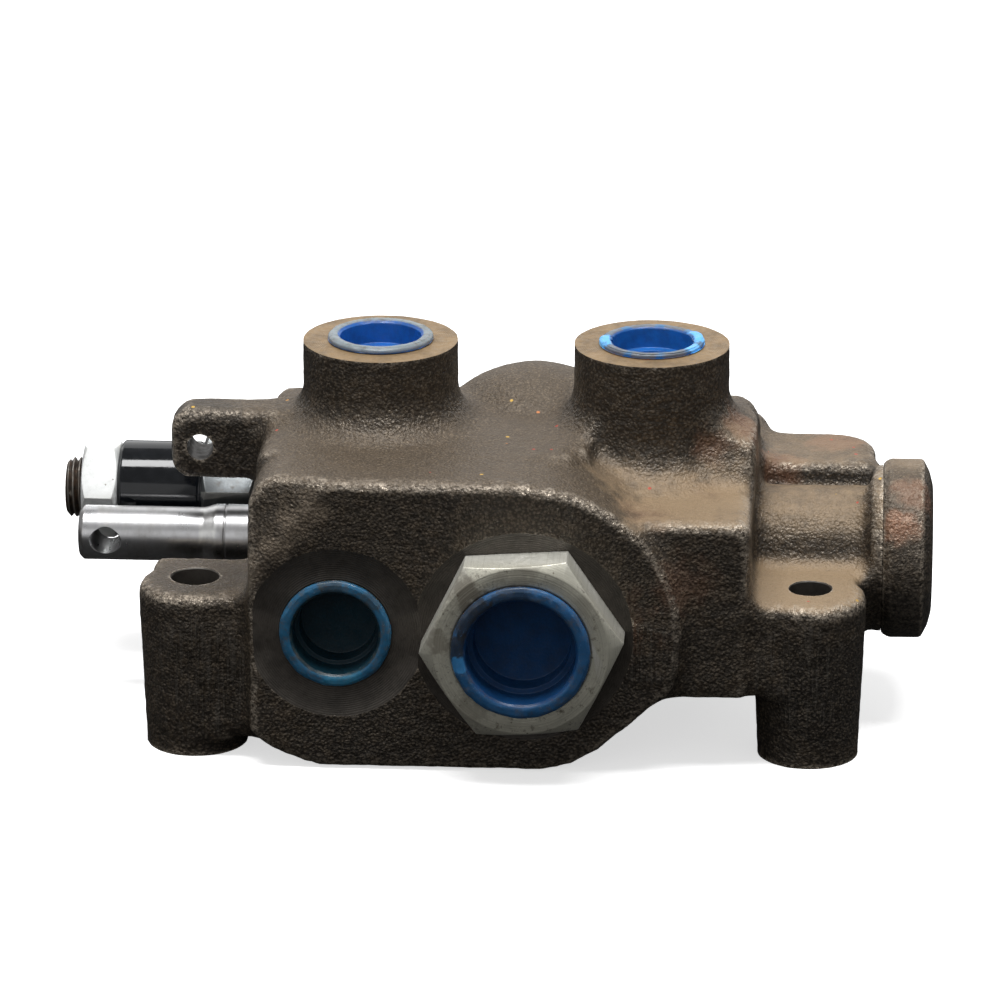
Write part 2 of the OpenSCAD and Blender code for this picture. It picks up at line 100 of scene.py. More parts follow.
def soften(profile, r, steps=3):
    """round each corner of a closed (along, radius) outline, apart from corners on the axis"""
    out, n = [], len(profile)
    for i, p in enumerate(profile):
        p = np.array(p, float)
        q0, q1 = np.array(profile[i - 1], float), np.array(profile[(i + 1) % n], float)
        l0, l1 = np.linalg.norm(q0 - p), np.linalg.norm(q1 - p)
        if p[1] < 1e-6 or min(l0, l1) < 1e-6:
            out.append(tuple(p))
            continue
        d0, d1 = (q0 - p) / l0, (q1 - p) / l1
        t = min(r, l0 * 0.45, l1 * 0.45)
        for k in range(steps + 1):
            s = k / steps
            out.append(tuple((1 - s) ** 2 * (p + d0 * t) + 2 * s * (1 - s) * p + s ** 2 * (p + d1 * t)))
    return out


def lathe(name, profile, axis, at, seg=96, smooth=35):
    """turned solid from a closed outline of (along, radius)"""
    verts, rows = [], []
    for a, r in profile:
        if r < 1e-6:
            rows.append([len(verts)] * seg)
            verts.append(place(axis, at, a, 0, 0))
        else:
            rows.append(list(range(len(verts), len(verts) + seg)))
            for k in range(seg):
                t = 2 * math.pi * k / seg
                verts.append(place(axis, at, a, r * math.cos(t), r * math.sin(t)))
    faces = []
    for i in range(len(rows)):
        r0, r1 = rows[i], rows[(i + 1) % len(rows)]
        for k in range(seg):
            q = [r0[k], r0[(k + 1) % seg], r1[(k + 1) % seg], r1[k]]
            q = [v for j, v in enumerate(q) if v not in q[:j]]
            if len(q) > 2:
                faces.append(q)
    ob = mesh_object(name, verts, faces, smooth)
    return outward(ob)


def outward(ob):
    """turn every face outwards"""
    bm = bmesh.new()
    bm.from_mesh(ob.data)
    bmesh.ops.recalc_face_normals(bm, faces=bm.faces)
    if bm.calc_volume(signed=True) < 0:
        bmesh.ops.reverse_faces(bm, faces=bm.faces)
    bm.to_mesh(ob.data)
    bm.free()
    return ob


def rod(axis, at, a0, a1, r):
    return lathe("tool", [(a0, 0), (a0, r), (a1, r), (a1, 0)], axis, at)


def prism(name, axis, at, a0, a1, af, turn):
    """hexagonal bar; turn is the angle of one of its corners, from u towards v of AXES"""
    r = af / 2 / math.cos(math.radians(30))
    pts = [(r * math.cos(math.radians(turn + 60 * k)), r * math.sin(math.radians(turn + 60 * k)))
           for k in range(6)]
    verts = [place(axis, at, a, u, v) for a in (a0, a1) for u, v in pts]
    faces = [list(range(6)), list(range(6, 12))] + [[k, (k + 1) % 6, 6 + (k + 1) % 6, 6 + k] for k in range(6)]
    return outward(mesh_object(name, verts, faces, 20))


def block(lo, hi):
    verts = [(x, y, z) for x in (lo[0], hi[0]) for y in (lo[1], hi[1]) for z in (lo[2], hi[2])]
    faces = [(0, 1, 3, 2), (4, 6, 7, 5), (0, 4, 5, 1), (2, 3, 7, 6), (0, 2, 6, 4), (1, 5, 7, 3)]
    return outward(mesh_object("tool", verts, faces, 20))


def bake(ob):
    """apply all modifiers"""
    dg = bpy.context.evaluated_depsgraph_get()
    me = bpy.data.meshes.new_from_object(ob.evaluated_get(dg), preserve_all_data_layers=True, depsgraph=dg)
    ob.modifiers.clear()
    ob.data = me
    return ob


def drop(*obs):
    for o in obs:
        bpy.data.objects.remove(o)


def weld(ob):
    """join the vertices that the CAD import splits at sharp edges"""
    bm = bmesh.new()
    bm.from_mesh(ob.data)
    bmesh.ops.remove_doubles(bm, verts=bm.verts, dist=1e-7)
    bm.to_mesh(ob.data)
    bm.free()
    return ob


def boolean(ob, op, *tools, transfer=False):
    """with transfer, the tools leave their own material on the faces that they make"""
    for t in tools:
        m = ob.modifiers.new("cut", "BOOLEAN")
        m.operation, m.object, m.solver = op, t, "MANIFOLD"
        if transfer:
            m.material_mode = "TRANSFER"
    bake(ob)
    drop(*tools)
    return ob


def bevel(ob, width, angle=28, segments=2):
    m = ob.modifiers.new("edge", "BEVEL")
    m.width, m.segments, m.limit_method = width * MM, segments, "ANGLE"
    m.angle_limit = math.radians(angle)
    m.use_clamp_overlap, m.miter_outer = True, "MITER_ARC"
    return shade(bake(ob), 34)


def finish(ob, body, slot, mat, *nodes):
    ob.data.materials.clear()
    ob.data.materials.append(mat)
    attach(ob, body)
    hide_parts(*nodes)
    return ob


# ------------------------------------------------------------------ materials
class Mat:
    """builds one node material; positions are the object's own, in mm"""

    def __init__(self, name, rough=0.5, metal=0.0, spec=0.5, **extra):
        self.mat = bpy.data.materials.new(name)
        self.mat.use_nodes = True
        self.nt = self.mat.node_tree
        self.bsdf = self.nt.nodes["Principled BSDF"]
        self.set("Roughness", rough)
        self.set("Metallic", metal)
        self.set("Specular IOR Level", spec)
        for k, v in extra.items():
            self.set(k.replace("_", " "), v)
        self.ragged = {}     # noise that all spots of one scale share
        tc = self.nt.nodes.new("ShaderNodeTexCoord")
        self.p = self.vec("SCALE", tc.outputs["Object"], scale=1000)

    def set(self, socket, value):
        s = self.bsdf.inputs[socket]
        if isinstance(value, bpy.types.NodeSocket):
            self.nt.links.new(value, s)
        else:
            s.default_value = value

    def put(self, sock, value):
        if isinstance(value, bpy.types.NodeSocket):
            self.nt.links.new(value, sock)
        elif value is not None:
            if hasattr(sock.default_value, "__len__") and not hasattr(value, "__len__"):
                value = (value,) * len(sock.default_value)
            if hasattr(sock.default_value, "__len__") and len(value) == 3 and len(sock.default_value) == 4:
                value = (*value, 1)
            sock.default_value = value

    def vec(self, op, a, b=None, scale=None):
        n = self.nt.nodes.new("ShaderNodeVectorMath")
        n.operation = op
        self.put(n.inputs[0], a)
        if b is not None:
            self.put(n.inputs[1], b)
        if scale is not None:
            n.inputs["Scale"].default_value = scale
        return n.outputs["Value"] if op in ("LENGTH", "DISTANCE", "DOT_PRODUCT") else n.outputs["Vector"]

    def math(self, op, a, b=0.0):
        n = self.nt.nodes.new("ShaderNodeMath")
        n.operation = op
        self.put(n.inputs[0], a)
        self.put(n.inputs[1], b)
        return n.outputs[0]

    def times(self, *factors):
        out = factors[0]
        for f in factors[1:]:
            out = self.math("MULTIPLY", out, f)
        return out

    def noise(self, per_mm, detail=3, rough=0.55, stretch=None, off=0.0):
        """noise with features of 1 / per_mm; off moves it, so that two noises don't match"""
        p = self.p if stretch is None else self.vec("MULTIPLY", self.p, stretch)
        if off:
            p = self.vec("ADD", p, (off, off * 1.7, -off))
        n = self.nt.nodes.new("ShaderNodeTexNoise")
        self.put(n.inputs["Vector"], p)
        n.inputs["Scale"].default_value = per_mm
        n.inputs["Detail"].default_value = detail
        n.inputs["Roughness"].default_value = rough
        return n.outputs["Fac"]

    def cells(self, per_mm, out="Distance"):
        n = self.nt.nodes.new("ShaderNodeTexVoronoi")
        self.put(n.inputs["Vector"], self.p)
        n.inputs["Scale"].default_value = per_mm
        return n.outputs[out]

    def grain(self, per_mm, warp):
        """rounded sand grains: high in the middle of each cell, low between cells"""
        n = self.nt.nodes.new("ShaderNodeTexNoise")
        self.put(n.inputs["Vector"], self.p)
        n.inputs["Scale"].default_value = 0.8
        p = self.vec("ADD", self.p, self.vec("SCALE", n.outputs["Color"], scale=warp))
        v = self.nt.nodes.new("ShaderNodeTexVoronoi")
        self.put(v.inputs["Vector"], p)
        v.inputs["Scale"].default_value = per_mm
        return self.step(v.outputs["Distance"], 0.75, 0.1)

    def step(self, x, lo, hi, a=0.0, b=1.0):
        """smooth ramp from a where x is lo to b where x is hi"""
        n = self.nt.nodes.new("ShaderNodeMapRange")
        n.interpolation_type = "SMOOTHSTEP"
        for k, v in zip(("Value", "From Min", "From Max", "To Min", "To Max"), (x, lo, hi, a, b)):
            self.put(n.inputs[k], v)
        return n.outputs["Result"]

    def mix(self, f, a, b):
        n = self.nt.nodes.new("ShaderNodeMix")
        n.data_type = "RGBA"
        self.put(n.inputs[0], f)
        self.put(n.inputs[6], a)
        self.put(n.inputs[7], b)
        return n.outputs[2]

    def mixf(self, f, a, b):
        n = self.nt.nodes.new("ShaderNodeMix")
        self.put(n.inputs[0], f)
        self.put(n.inputs[2], a)
        self.put(n.inputs[3], b)
        return n.outputs[0]

    def xyz(self, v=None):
        """the three parts of a vector, or of the position"""
        n = self.nt.nodes.new("ShaderNodeSeparateXYZ")
        self.put(n.inputs[0], self.p if v is None else v)
        return n.outputs

    def radius(self, axis, at):
        """distance from an axis along X, Y or Z through a point"""
        keep = [0 if c == axis else 1 for c in "XYZ"]
        d = self.vec("SUBTRACT", self.p, tuple(at))
        return self.vec("LENGTH", self.vec("MULTIPLY", d, tuple(keep)))

    def spot(self, at, r, soft=0.6, wobble=0.35, per_mm=0.22):
        """ragged patch round a point, 0 to 1"""
        d = self.vec("DISTANCE", self.p, tuple(at))
        d = self.math("DIVIDE", d, r)
        if per_mm not in self.ragged:
            self.ragged[per_mm] = self.math("SUBTRACT", self.noise(per_mm, 4), 0.5)
        d = self.math("ADD", d, self.math("MULTIPLY", self.ragged[per_mm], wobble * 4))
        return self.step(d, 1.0, 1.0 - soft)

    def geo(self, out):
        n = self.nt.nodes.new("ShaderNodeNewGeometry")
        return n.outputs[out]

    def bump(self, height, depth, strength=1.0, under=None):
        n = self.nt.nodes.new("ShaderNodeBump")
        n.inputs["Strength"].default_value = strength
        n.inputs["Distance"].default_value = depth * MM
        self.put(n.inputs["Height"], height)
        if under is not None:
            self.put(n.inputs["Normal"], under)
        return n.outputs["Normal"]

    def done(self, color, normal=None, rough=None, metal=None):
        self.set("Base Color", color)
        if normal is not None:
            self.set("Normal", normal)
        if rough is not None:
            self.set("Roughness", rough)
        if metal is not None:
            self.set("Metallic", metal)
        return self.mat


DARK_IRON, BROWN_IRON, PALE_BROWN = (0.019, 0.0155, 0.0120), (0.032, 0.025, 0.0178), (0.072, 0.052, 0.033)
DUST, SAND, HOLLOW = (0.084, 0.058, 0.034), (0.24, 0.185, 0.125), (0.040, 0.030, 0.021)
OIL_AND_PAINTED_SHADE, RUST, TAN = (0.010, 0.010, 0.010), (0.235, 0.105, 0.055), (0.27, 0.190, 0.112)
RIDGE_HIGHLIGHT, GAP, CORNER = (0.19, 0.150, 0.110), (0.012, 0.010, 0.009), (0.014, 0.012, 0.010)
GRAIN_TIP, WORN_AND_PAINTED_HIGHLIGHT = (0.27, 0.220, 0.165), (0.42, 0.36, 0.29)
YELLOW_SPECK, RED_SPECK, GROUND = (0.62, 0.38, 0.06), (0.42, 0.05, 0.03), (0.080, 0.072, 0.062)


def cast_iron(name, rust=(), tan=(), ridge_highlight=(), dark=(), ground=(), dust_amount=1.0):
    """sand-cast iron; every patch in the lists is (centre, radius, amount), in ground (centre, radius)"""
    m = Mat(name, spec=0.75, Specular_Tint=(1.0, 0.89, 0.77, 1.0))
    n = m.xyz(m.geo("Normal"))
    big, medium, fine = m.noise(0.045, 4, 0.6), m.noise(0.3, 4, 0.6), m.noise(1.35, 2, 0.5)
    grain = m.grain(1.2, 0.7)
    col = m.mix(m.step(big, 0.35, 0.68), DARK_IRON, BROWN_IRON)
    col = m.mix(m.step(medium, 0.42, 0.7, 0, 0.6), col, PALE_BROWN)
    # dust lies on what faces up
    up = m.times(m.step(n["Z"], 0.35, 0.93), m.step(m.noise(0.09, 4, 0.6, off=7), 0.2, 0.62, 0.72, 1.0))
    col = m.mix(m.times(up, 0.48 * dust_amount), col, DUST)
    sand = m.noise(1.7, 3, 0.7, off=12)
    col = m.mix(m.times(up, m.step(sand, 0.50, 0.66, 0, 0.55)), col, SAND)
    col = m.mix(m.times(up, m.step(sand, 0.50, 0.34, 0, 0.65)), col, HOLLOW)
    # dark patches in one colour: oil stains, and on the body also painted shade and a painted shadow
    for at, r, amount in dark:
        col = m.mix(m.times(m.spot(at, r, 0.25, 0.12, 0.5), amount), col, OIL_AND_PAINTED_SHADE)
    for at, r, amount in rust:
        col = m.mix(m.times(m.spot(at, r), amount), col, RUST)
    for at, r, amount in tan:
        face = m.step(n["Z"], 0.3, 0.9)
        col = m.mix(m.times(m.spot(at, r, 0.8, 0.25), amount, face), col, TAN)
    # painted highlight: lighter patches along the facet's ridge
    for at, r, amount in ridge_highlight:
        col = m.mix(m.times(m.spot(at, r, 0.8, 0.25), amount), col, RIDGE_HIGHLIGHT)
    # rubbed edges and grain tips show grey metal; the rubbed edges are made lighter still as a painted
    # highlight, and the gaps between grains and the concave corners are darker
    edge = m.step(m.geo("Pointiness"), 0.506, 0.535)
    edge = m.times(edge, m.step(m.noise(0.9, 4, 0.75, off=3), 0.40, 0.60))
    bare = m.math("SUBTRACT", 1.0, m.times(up, 0.92))
    tips = m.math("ADD", grain, m.times(medium, 0.6))
    tips = m.times(m.step(tips, 0.62, 1.15), bare, 0.25)
    wear = m.math("MAXIMUM", m.times(edge, 0.8), tips)
    col = m.mix(m.times(m.step(grain, 0.40, 0.10, 0, 0.4), bare), col, GAP)
    col = m.mix(tips, col, GRAIN_TIP)
    # rubbed edges: worn metal, lightened as a painted highlight
    col = m.mix(edge, col, WORN_AND_PAINTED_HIGHLIGHT)
    col = m.mix(m.step(m.geo("Pointiness"), 0.47, 0.40, 0, 0.5), col, CORNER)
    # loose specks of paint, in a few cells of a coarse pattern
    speck = m.times(m.step(m.cells(0.17), 0.095, 0.065), m.step(n["Z"], 0.6, 0.9))
    pick, hue, _ = m.xyz(m.cells(0.17, out="Color"))
    speck = m.times(speck, m.step(pick, 0.68, 0.70))
    col = m.mix(speck, col, m.mix(m.step(hue, 0.45, 0.55), YELLOW_SPECK, RED_SPECK))
    nb = m.bump(m.noise(0.2, 2, 0.5, off=2), 0.7, 0.6)
    nb = m.bump(m.noise(0.5, 3, 0.5, off=9), 0.45, 0.8, nb)
    nb = m.bump(m.math("ADD", m.times(fine, 0.8), m.times(grain, 0.16)), 0.50, 1.0, nb)
    # upright marks of a hand grinder
    for at, r in ground:
        lines = m.noise(1.25, 2, 0.5, stretch=(1, 1, 0.04), off=at[0])
        where = m.times(m.spot(at, r, 0.3, 0.1), m.step(n["Y"], -0.6, -0.9))
        nb = m.bump(m.times(lines, where), 0.8, 0.9, nb)
        col = m.mix(m.times(where, m.step(lines, 0.5, 0.62, 0, 0.5)), col, GROUND)
    rough = m.mixf(up, m.step(medium, 0.3, 0.7, 0.46, 0.34), 0.58)
    rough = m.mixf(wear, rough, 0.30)
    return m.done(col, nb, rough, m.times(wear, 0.6))


def machined_iron(name, base, rings=(), rough=0.42, grime=0.5):
    m = Mat(name, spec=0.5)
    col = m.mix(m.step(m.noise(0.16, 4, 0.65), 0.35, 0.7), base, tuple(c * 0.62 for c in base))
    col = m.mix(m.step(m.noise(0.5, 4, 0.7, off=4), 0.52, 0.72, 0, grime), col, (0.035, 0.028, 0.022))
    nb = m.bump(m.noise(2.2, 3, 0.6), 0.05, 0.7)
    for axis, at, reach in rings:
        r = m.radius(axis, at)
        wave = m.math("SINE", m.times(r, 11.0))
        wave = m.times(wave, m.step(r, reach, reach - 1))
        nb = m.bump(wave, 0.035, 0.6, nb)
    return m.done(col, nb, m.step(m.noise(0.7, 4), 0.3, 0.75, rough - 0.1, rough + 0.14), 0.35)


def ground_steel(name, marks):
    """marks are (from x, to x, tint, amount)"""
    m = Mat(name, metal=1.0)
    x = m.xyz()["X"]
    line = m.noise(2.2, 2, 0.5, stretch=(1, 0.02, 0.02))
    stain = m.noise(0.16, 5, 0.65, stretch=(1, 0.6, 0.6), off=6)
    col = m.mix(m.step(stain, 0.42, 0.75), (0.62, 0.62, 0.63), (0.43, 0.42, 0.41))
    for x0, x1, tint, amount in marks:
        band = m.times(m.step(x, x0 - 0.5, x0 + 0.3), m.step(x, x1 + 0.3, x1 - 0.5))
        band = m.times(band, m.times(m.step(m.noise(0.5, 4, off=8), 0.3, 0.55), amount))
        col = m.mix(band, col, tint)
    nb = m.bump(line, 0.006, 0.3)
    rough = m.math("ADD", m.times(line, 0.3), m.times(stain, 0.7))
    return m.done(col, nb, m.step(rough, 0.35, 0.7, 0.27, 0.40))


def zinc(name, axis, at, tint, grime, rough, rings=True, metal=0.85, spots=()):
    """zinc plating with dirt, and fine turned rings round the axis"""
    m = Mat(name, metal=metal, spec=0.5)
    cloud = m.noise(0.12, 5, 0.65)
    col = m.mix(m.step(cloud, 0.35, 0.7), tint, tuple(c * 0.72 for c in tint))
    dirt = m.times(m.step(m.noise(0.42, 5, 0.72, off=5), 0.52, 0.70), grime)
    for where, size, amount in spots:
        dirt = m.math("MAXIMUM", dirt, m.times(m.spot(where, size, 0.7, 0.5, 0.5), amount))
    # painted highlight: edges made near-white
    edge = m.step(m.geo("Pointiness"), 0.51, 0.56, 0, 0.6)
    col = m.mix(dirt, col, (0.085, 0.067, 0.046))
    col = m.mix(edge, col, (0.80, 0.79, 0.74))
    col = m.mix(m.step(m.cells(0.33), 0.10, 0.05, 0, 0.75), col, (0.10, 0.075, 0.05))
    nb = m.bump(m.noise(1.6, 4, 0.6), 0.05, 0.6)
    if rings:
        r = m.radius(axis, at)
        n = m.nt.nodes.new("ShaderNodeTexNoise")
        n.noise_dimensions = "1D"
        m.put(n.inputs["W"], r)
        n.inputs["Scale"].default_value = 2.6
        n.inputs["Detail"].default_value = 3
        ring = n.outputs["Fac"]
        nb = m.bump(ring, 0.07, 0.8, nb)
        col = m.mix(m.step(ring, 0.5, 0.72, 0, 0.4), col, tuple(c * 0.55 for c in tint))
    return m.done(col, nb, m.mixf(dirt, m.step(cloud, 0.3, 0.7, rough - 0.06, rough + 0.1), 0.7),
                  m.mixf(dirt, metal, 0.2))


def dark_metal(name, base, rough, rust=0.0, coat=0.0, metal=0.4):
    m = Mat(name, metal=metal, Coat_Weight=coat, Coat_Roughness=0.08)
    cloud = m.noise(0.25, 5, 0.7)
    col = m.mix(m.step(cloud, 0.35, 0.7), base, tuple(c * 1.7 + 0.004 for c in base))
    if rust:
        col = m.mix(m.step(m.noise(0.6, 5, 0.7, off=2), 0.45, 0.65, 0, rust), col, (0.12, 0.07, 0.04))
    col = m.mix(m.step(m.geo("Pointiness"), 0.52, 0.57, 0, 0.5), col, (0.35, 0.33, 0.30))
    scratch = m.noise(1.1, 3, 0.6, stretch=(0.25, 3, 3), off=4)
    return m.done(col, m.bump(scratch, 0.02, 0.5), m.step(scratch, 0.4, 0.7, rough, rough + 0.1))


def black_gloss(name):
    m = Mat(name, spec=0.5)
    cloud = m.noise(0.3, 5, 0.7)
    col = m.mix(m.step(cloud, 0.35, 0.75), (0.0015, 0.0022, 0.0035), (0.006, 0.007, 0.009))
    col = m.mix(m.step(m.geo("Pointiness"), 0.52, 0.57, 0, 0.3), col, (0.12, 0.12, 0.12))
    return m.done(col, m.bump(m.noise(0.8, 3, 0.6), 0.015, 0.4), m.step(cloud, 0.3, 0.75, 0.06, 0.15))


def plastic(name, axis, at, face, inner, cup, rim_tint, dirt=0.5, spots=()):
    """moulded polyethylene: clear blue cup, paler scuffed rim with dirt rubbed into it; face is the flange's
    outer plane, inner the cup's radius, spots are (centre, radius, amount, tint)"""
    m = Mat(name, rough=0.34, spec=0.45, Subsurface_Weight=0.08)
    m.bsdf.inputs["Subsurface Scale"].default_value = 0.002
    r = m.radius(axis, at)
    sgn = 1 if axis == "Z" else -1
    depth = m.times(m.math("SUBTRACT", m.xyz()[axis], face), sgn)
    col = m.mix(m.step(m.noise(0.25, 4, 0.6), 0.35, 0.7), cup, tuple(c * 0.7 for c in cup))
    rim = m.times(m.step(depth, -2.6, -0.4), m.step(r, inner + 0.1, inner + 0.9))
    wander = m.times(m.math("SUBTRACT", m.noise(0.6, 4, 0.7, off=2), 0.5), 0.9)
    ragged = m.step(m.math("ADD", rim, wander), 0.35, 0.75)
    col = m.mix(m.times(ragged, rim), col, rim_tint)
    dirty = m.times(m.step(m.noise(0.42, 5, 0.72, off=5), 0.46, 0.66), dirt)
    dirty = m.times(dirty, m.step(depth, -1.8, -0.2))
    col = m.mix(dirty, col, (0.10, 0.088, 0.066))
    for where, size, amount, tint in spots:
        patch = m.times(m.spot(where, size, 0.35, 0.3, 0.5), amount, m.step(r, inner + 0.1, inner + 0.7))
        col = m.mix(patch, col, tint)
    # scratches and small white nicks
    nick = m.times(m.step(m.noise(1.6, 4, 0.75, off=8), 0.60, 0.70, 0, 0.5), rim)
    col = m.mix(nick, col, tuple(min(0.8, c * 1.6 + 0.10) for c in rim_tint))
    nb = m.bump(m.noise(1.3, 4, 0.6), 0.10, 0.7)
    return m.done(col, nb, m.mixf(dirty, m.step(m.noise(0.5, 3), 0.3, 0.7, 0.28, 0.45), 0.65))


def rubber(name):
    m = Mat(name, rough=0.55, spec=0.4)
    col = m.mix(m.noise(0.6, 3), (0.012, 0.012, 0.012), (0.035, 0.034, 0.032))
    return m.done(col, m.bump(m.noise(3.0, 2), 0.03, 0.5))


def plain_steel(name, tint, rough):
    m = Mat(name, metal=1.0)
    cloud = m.noise(0.35, 4, 0.6)
    col = m.mix(m.step(cloud, 0.35, 0.7), tint, tuple(c * 0.7 for c in tint))
    return m.done(col, m.bump(m.noise(2.5, 3), 0.02, 0.5), m.step(cloud, 0.3, 0.7, rough, rough + 0.14))


# ------------------------------------------------------------------ cast body
def arrays(ob):
    me = ob.data
    me.calc_loop_triangles()
    v = np.empty(len(me.vertices) * 3, np.float32)
    t = np.empty(len(me.loop_triangles) * 3, np.int32)
    me.vertices.foreach_get("co", v)
    me.loop_triangles.foreach_get("vertices", t)
    return v.reshape(-1, 3) / MM, t.reshape(-1, 3)


def to_tris(quads):
    return np.concatenate([quads[:, [0, 1, 2]], quads[:, [0, 2, 3]]]).astype(np.uint32)


def offset(points, tris, dist, voxel):
    """surface that lies dist mm outside (or inside) the given one"""
    grid = vdb.FloatGrid.createLevelSetFromPolygons(
        points.astype(np.float32), triangles=tris.astype(np.uint32),
        transform=vdb.createLinearTransform(voxelSize=voxel), halfWidth=abs(dist) / voxel + 3)
    pts, quads = grid.convertToQuads(isovalue=dist)
    return np.array(pts), np.array(quads)


def shells(ob):
    """split a mesh into its closed shells, biggest box first"""
    bm = bmesh.new()
    bm.from_mesh(ob.data)
    bmesh.ops.remove_doubles(bm, verts=bm.verts, dist=1e-7)
    bm.verts.ensure_lookup_table()
    seen, out = set(), []
    for v in bm.verts:
        if v.index in seen:
            continue
        stack, group = [v], []
        seen.add(v.index)
        while stack:
            w = stack.pop()
            group.append(w)
            for e in w.link_edges:
                u = e.other_vert(w)
                if u.index not in seen:
                    seen.add(u.index)
                    stack.append(u)
        index = {w.index: i for i, w in enumerate(group)}
        faces = {f for w in group for f in w.link_faces}
        faces = [[index[u.index] for u in f.verts] for f in sorted(faces, key=lambda f: f.index)]
        co = np.array([w.co for w in group]) / MM
        out.append((float(np.prod(np.ptp(co, axis=0))), co, faces))
    bm.free()
    return sorted(out, key=lambda s: -s[0])


# lengths and places in mm
wa, wb = mount["work_port_a"], mount["work_port_b"]
inlet, outlet = mount["inlet_port"], mount["outlet_port"]
leg_l, leg_r = mount["mount_hole_left"], mount["mount_hole_right"]
lug, tang_hole = mount["lug_hole"], mount["tang_hole"]
spool_z = mount["spool_tang"].z
body_lo, body_hi = box("valve_body")
cap_lo, cap_hi = box("end_cap")
top, front = body_hi.z, body_lo.y
neck = cap_lo.x             # where the spring housing ends and the cap starts
relief, check = mid("relief_sleeve"), mid("check_plug")
hub = (0, 0, spool_z)
relief_at, check_at = (0, relief.y, relief.z), (check.x, 0, check.z)
lug_at, leg_l_at, leg_r_at = (lug.x, 0, lug.z), (leg_l.x, leg_l.y, 0), (leg_r.x, leg_r.y, 0)
inlet_at, outlet_at = (inlet.x, front, inlet.z), (outlet.x, front, outlet.z)
relief_face = -69.0         # machined face under the relief cartridge
collar_x = -83.2            # where its hexagon meets the black sleeve
pad = leg_l.z + 23.7        # tops of the two legs' pads
spot = 0.6                  # depth of the spot faces round the front ports
holes = [(leg_l_at, 6.1), (leg_r_at, 5.3)]


def filled_body():
    """the CAD body with every mouth plugged, as one outer skin, and its cavities as solids of their own"""
    solid = frame["nodes"]["valve_body"].copy()
    solid.data = solid.data.copy()
    solid.name = "body_work"
    solid.parent = None
    for k in list(solid.keys()):
        del solid[k]
    scene.collection.objects.link(solid)
    weld(solid)
    plugs = [
        rod("+Z", (wa.x, 0, 0), 79.5, top, 11.6), rod("+Z", (wb.x, 0, 0), 79.5, top, 11.6),
        rod("-Y", inlet_at, -20.5, 0, 13.7), rod("-Y", inlet_at, -0.9, 0, 22.3),
        rod("-Y", outlet_at, -22.5, 0, 22.4), rod("-Y", outlet_at, -0.9, 0, 27.8),
        rod("+X", hub, -64.8, -62.2, 10.7), rod("+X", hub, neck - 2, body_hi.x, 12.6),
        rod("+X", relief_at, relief_face, -58, 11.2),
        rod("+Y", check_at, 40, 44.9, 10.6), rod("+Y", check_at, 44.2, 44.9, 13.3),
        rod("+Y", lug_at, -6.35, 6.35, 3.8),
    ] + [rod("+Z", at, 0.0, pad, r + 0.4) for at, r in holes]
    boolean(solid, "UNION", *plugs)
    parts = shells(solid)
    drop(solid)
    return parts


def rounded_body():
    """the body's skin with its inner corners filled, outer edges rounded and a sand casting's unevenness"""
    parts = filled_body()
    outer = mesh_object("body_outer", parts[0][1], parts[0][2])
    cavities = [outward(mesh_object("cavity", co, faces)) for _, co, faces in parts[1:] if len(faces) > 8]
    ledge_z = 63.1
    boolean(outer, "UNION",
            # the machined ends run past their planes, so that they stay crisp when cut back
            rod("+Z", (wa.x, 0, 0), 88, top + 4, 19.95), rod("+Z", (wb.x, 0, 0), 88, top + 4, 19.95),
            rod("+Z", (leg_l.x, leg_l.y - 1.2, 0), -4, 3, 12.95),
            rod("+Z", (leg_r.x, leg_r.y - 1.2, 0), -4, 3, 12.95),
            rod("+X", relief_at, relief_face - 4, relief_face + 3, 17.5),
            rod("+X", hub, neck - 1.5, neck + 5, 21.6),
            block((26, -17, 64), (61.6, -12, 70)),
            # rounding takes height off the ledge and the lug, so they start a little higher
            block((64, 8, 58), (81.6, 35, ledge_z)), block((72, 19, 58), (92.6, 24, ledge_z)),
            rod("+Z", (81.6, 19, 0), 58, ledge_z, 11), rod("+Z", (81.6, 24, 0), 58, ledge_z, 11),
            block((lug.x - 3.6, -6.2, 72), (-60, 6.2, 79.5)))
    pts, tris = arrays(outer)
    drop(outer)
    fine, coarse = ((0.85, 1.03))
    fillet, rounding = 2.8, 2.4
    for dist in (fillet, -fillet):
        pts, quads = offset(pts, tris, dist, fine)
        tris = to_tris(quads)
    closed = outward(mesh_object("body_closed", pts, quads.tolist(), 180))
    # open corner under the ledge, down to the spring housing's barrel
    corner = block((64, 0, 53), (91.4, 8.1, 66))
    boolean(corner, "DIFFERENCE", rod("+X", hub, 60, 95, 15.9))
    # facet that leans back across the upper left corner of the port face
    facet = block((-40, -20, 0), (40, 0, 40))
    lean = Matrix.Rotation(math.radians(-51), 4, "Y") @ Matrix.Rotation(math.radians(-20), 4, "X")
    facet.data.transform(Matrix.Translation(Vector((-57, front, 61)) * MM) @ lean)
    boolean(closed, "DIFFERENCE", corner, facet)
    pts, tris = arrays(closed)
    drop(closed)
    for dist, voxel in ((-rounding, fine), (rounding, coarse)):
        pts, quads = offset(pts, tris, dist, voxel)
        tris = to_tris(quads)
    ob = outward(mesh_object("valve_body_cast", pts, quads[:, ::-1].tolist(), 180))
    # unevenness, always inwards
    me = ob.data
    nrm = np.empty(len(me.vertices) * 3, np.float32)
    me.vertices.foreach_get("normal", nrm)
    co = np.array([v.co for v in me.vertices]) / MM
    wave = np.array([noise.noise(Vector(c * 0.11)) * 0.16 + noise.noise(Vector(c * 0.36 + 9)) * 0.10
                     + noise.noise(Vector(c * 0.8 + 31)) * 0.07 for c in co])
    co = co + nrm.reshape(-1, 3) * (np.clip(wave, -0.25, 0.25) - 0.1)[:, None]
    me.vertices.foreach_set("co", (co * MM).astype(np.float32).ravel())
    me.update()
    return ob, cavities


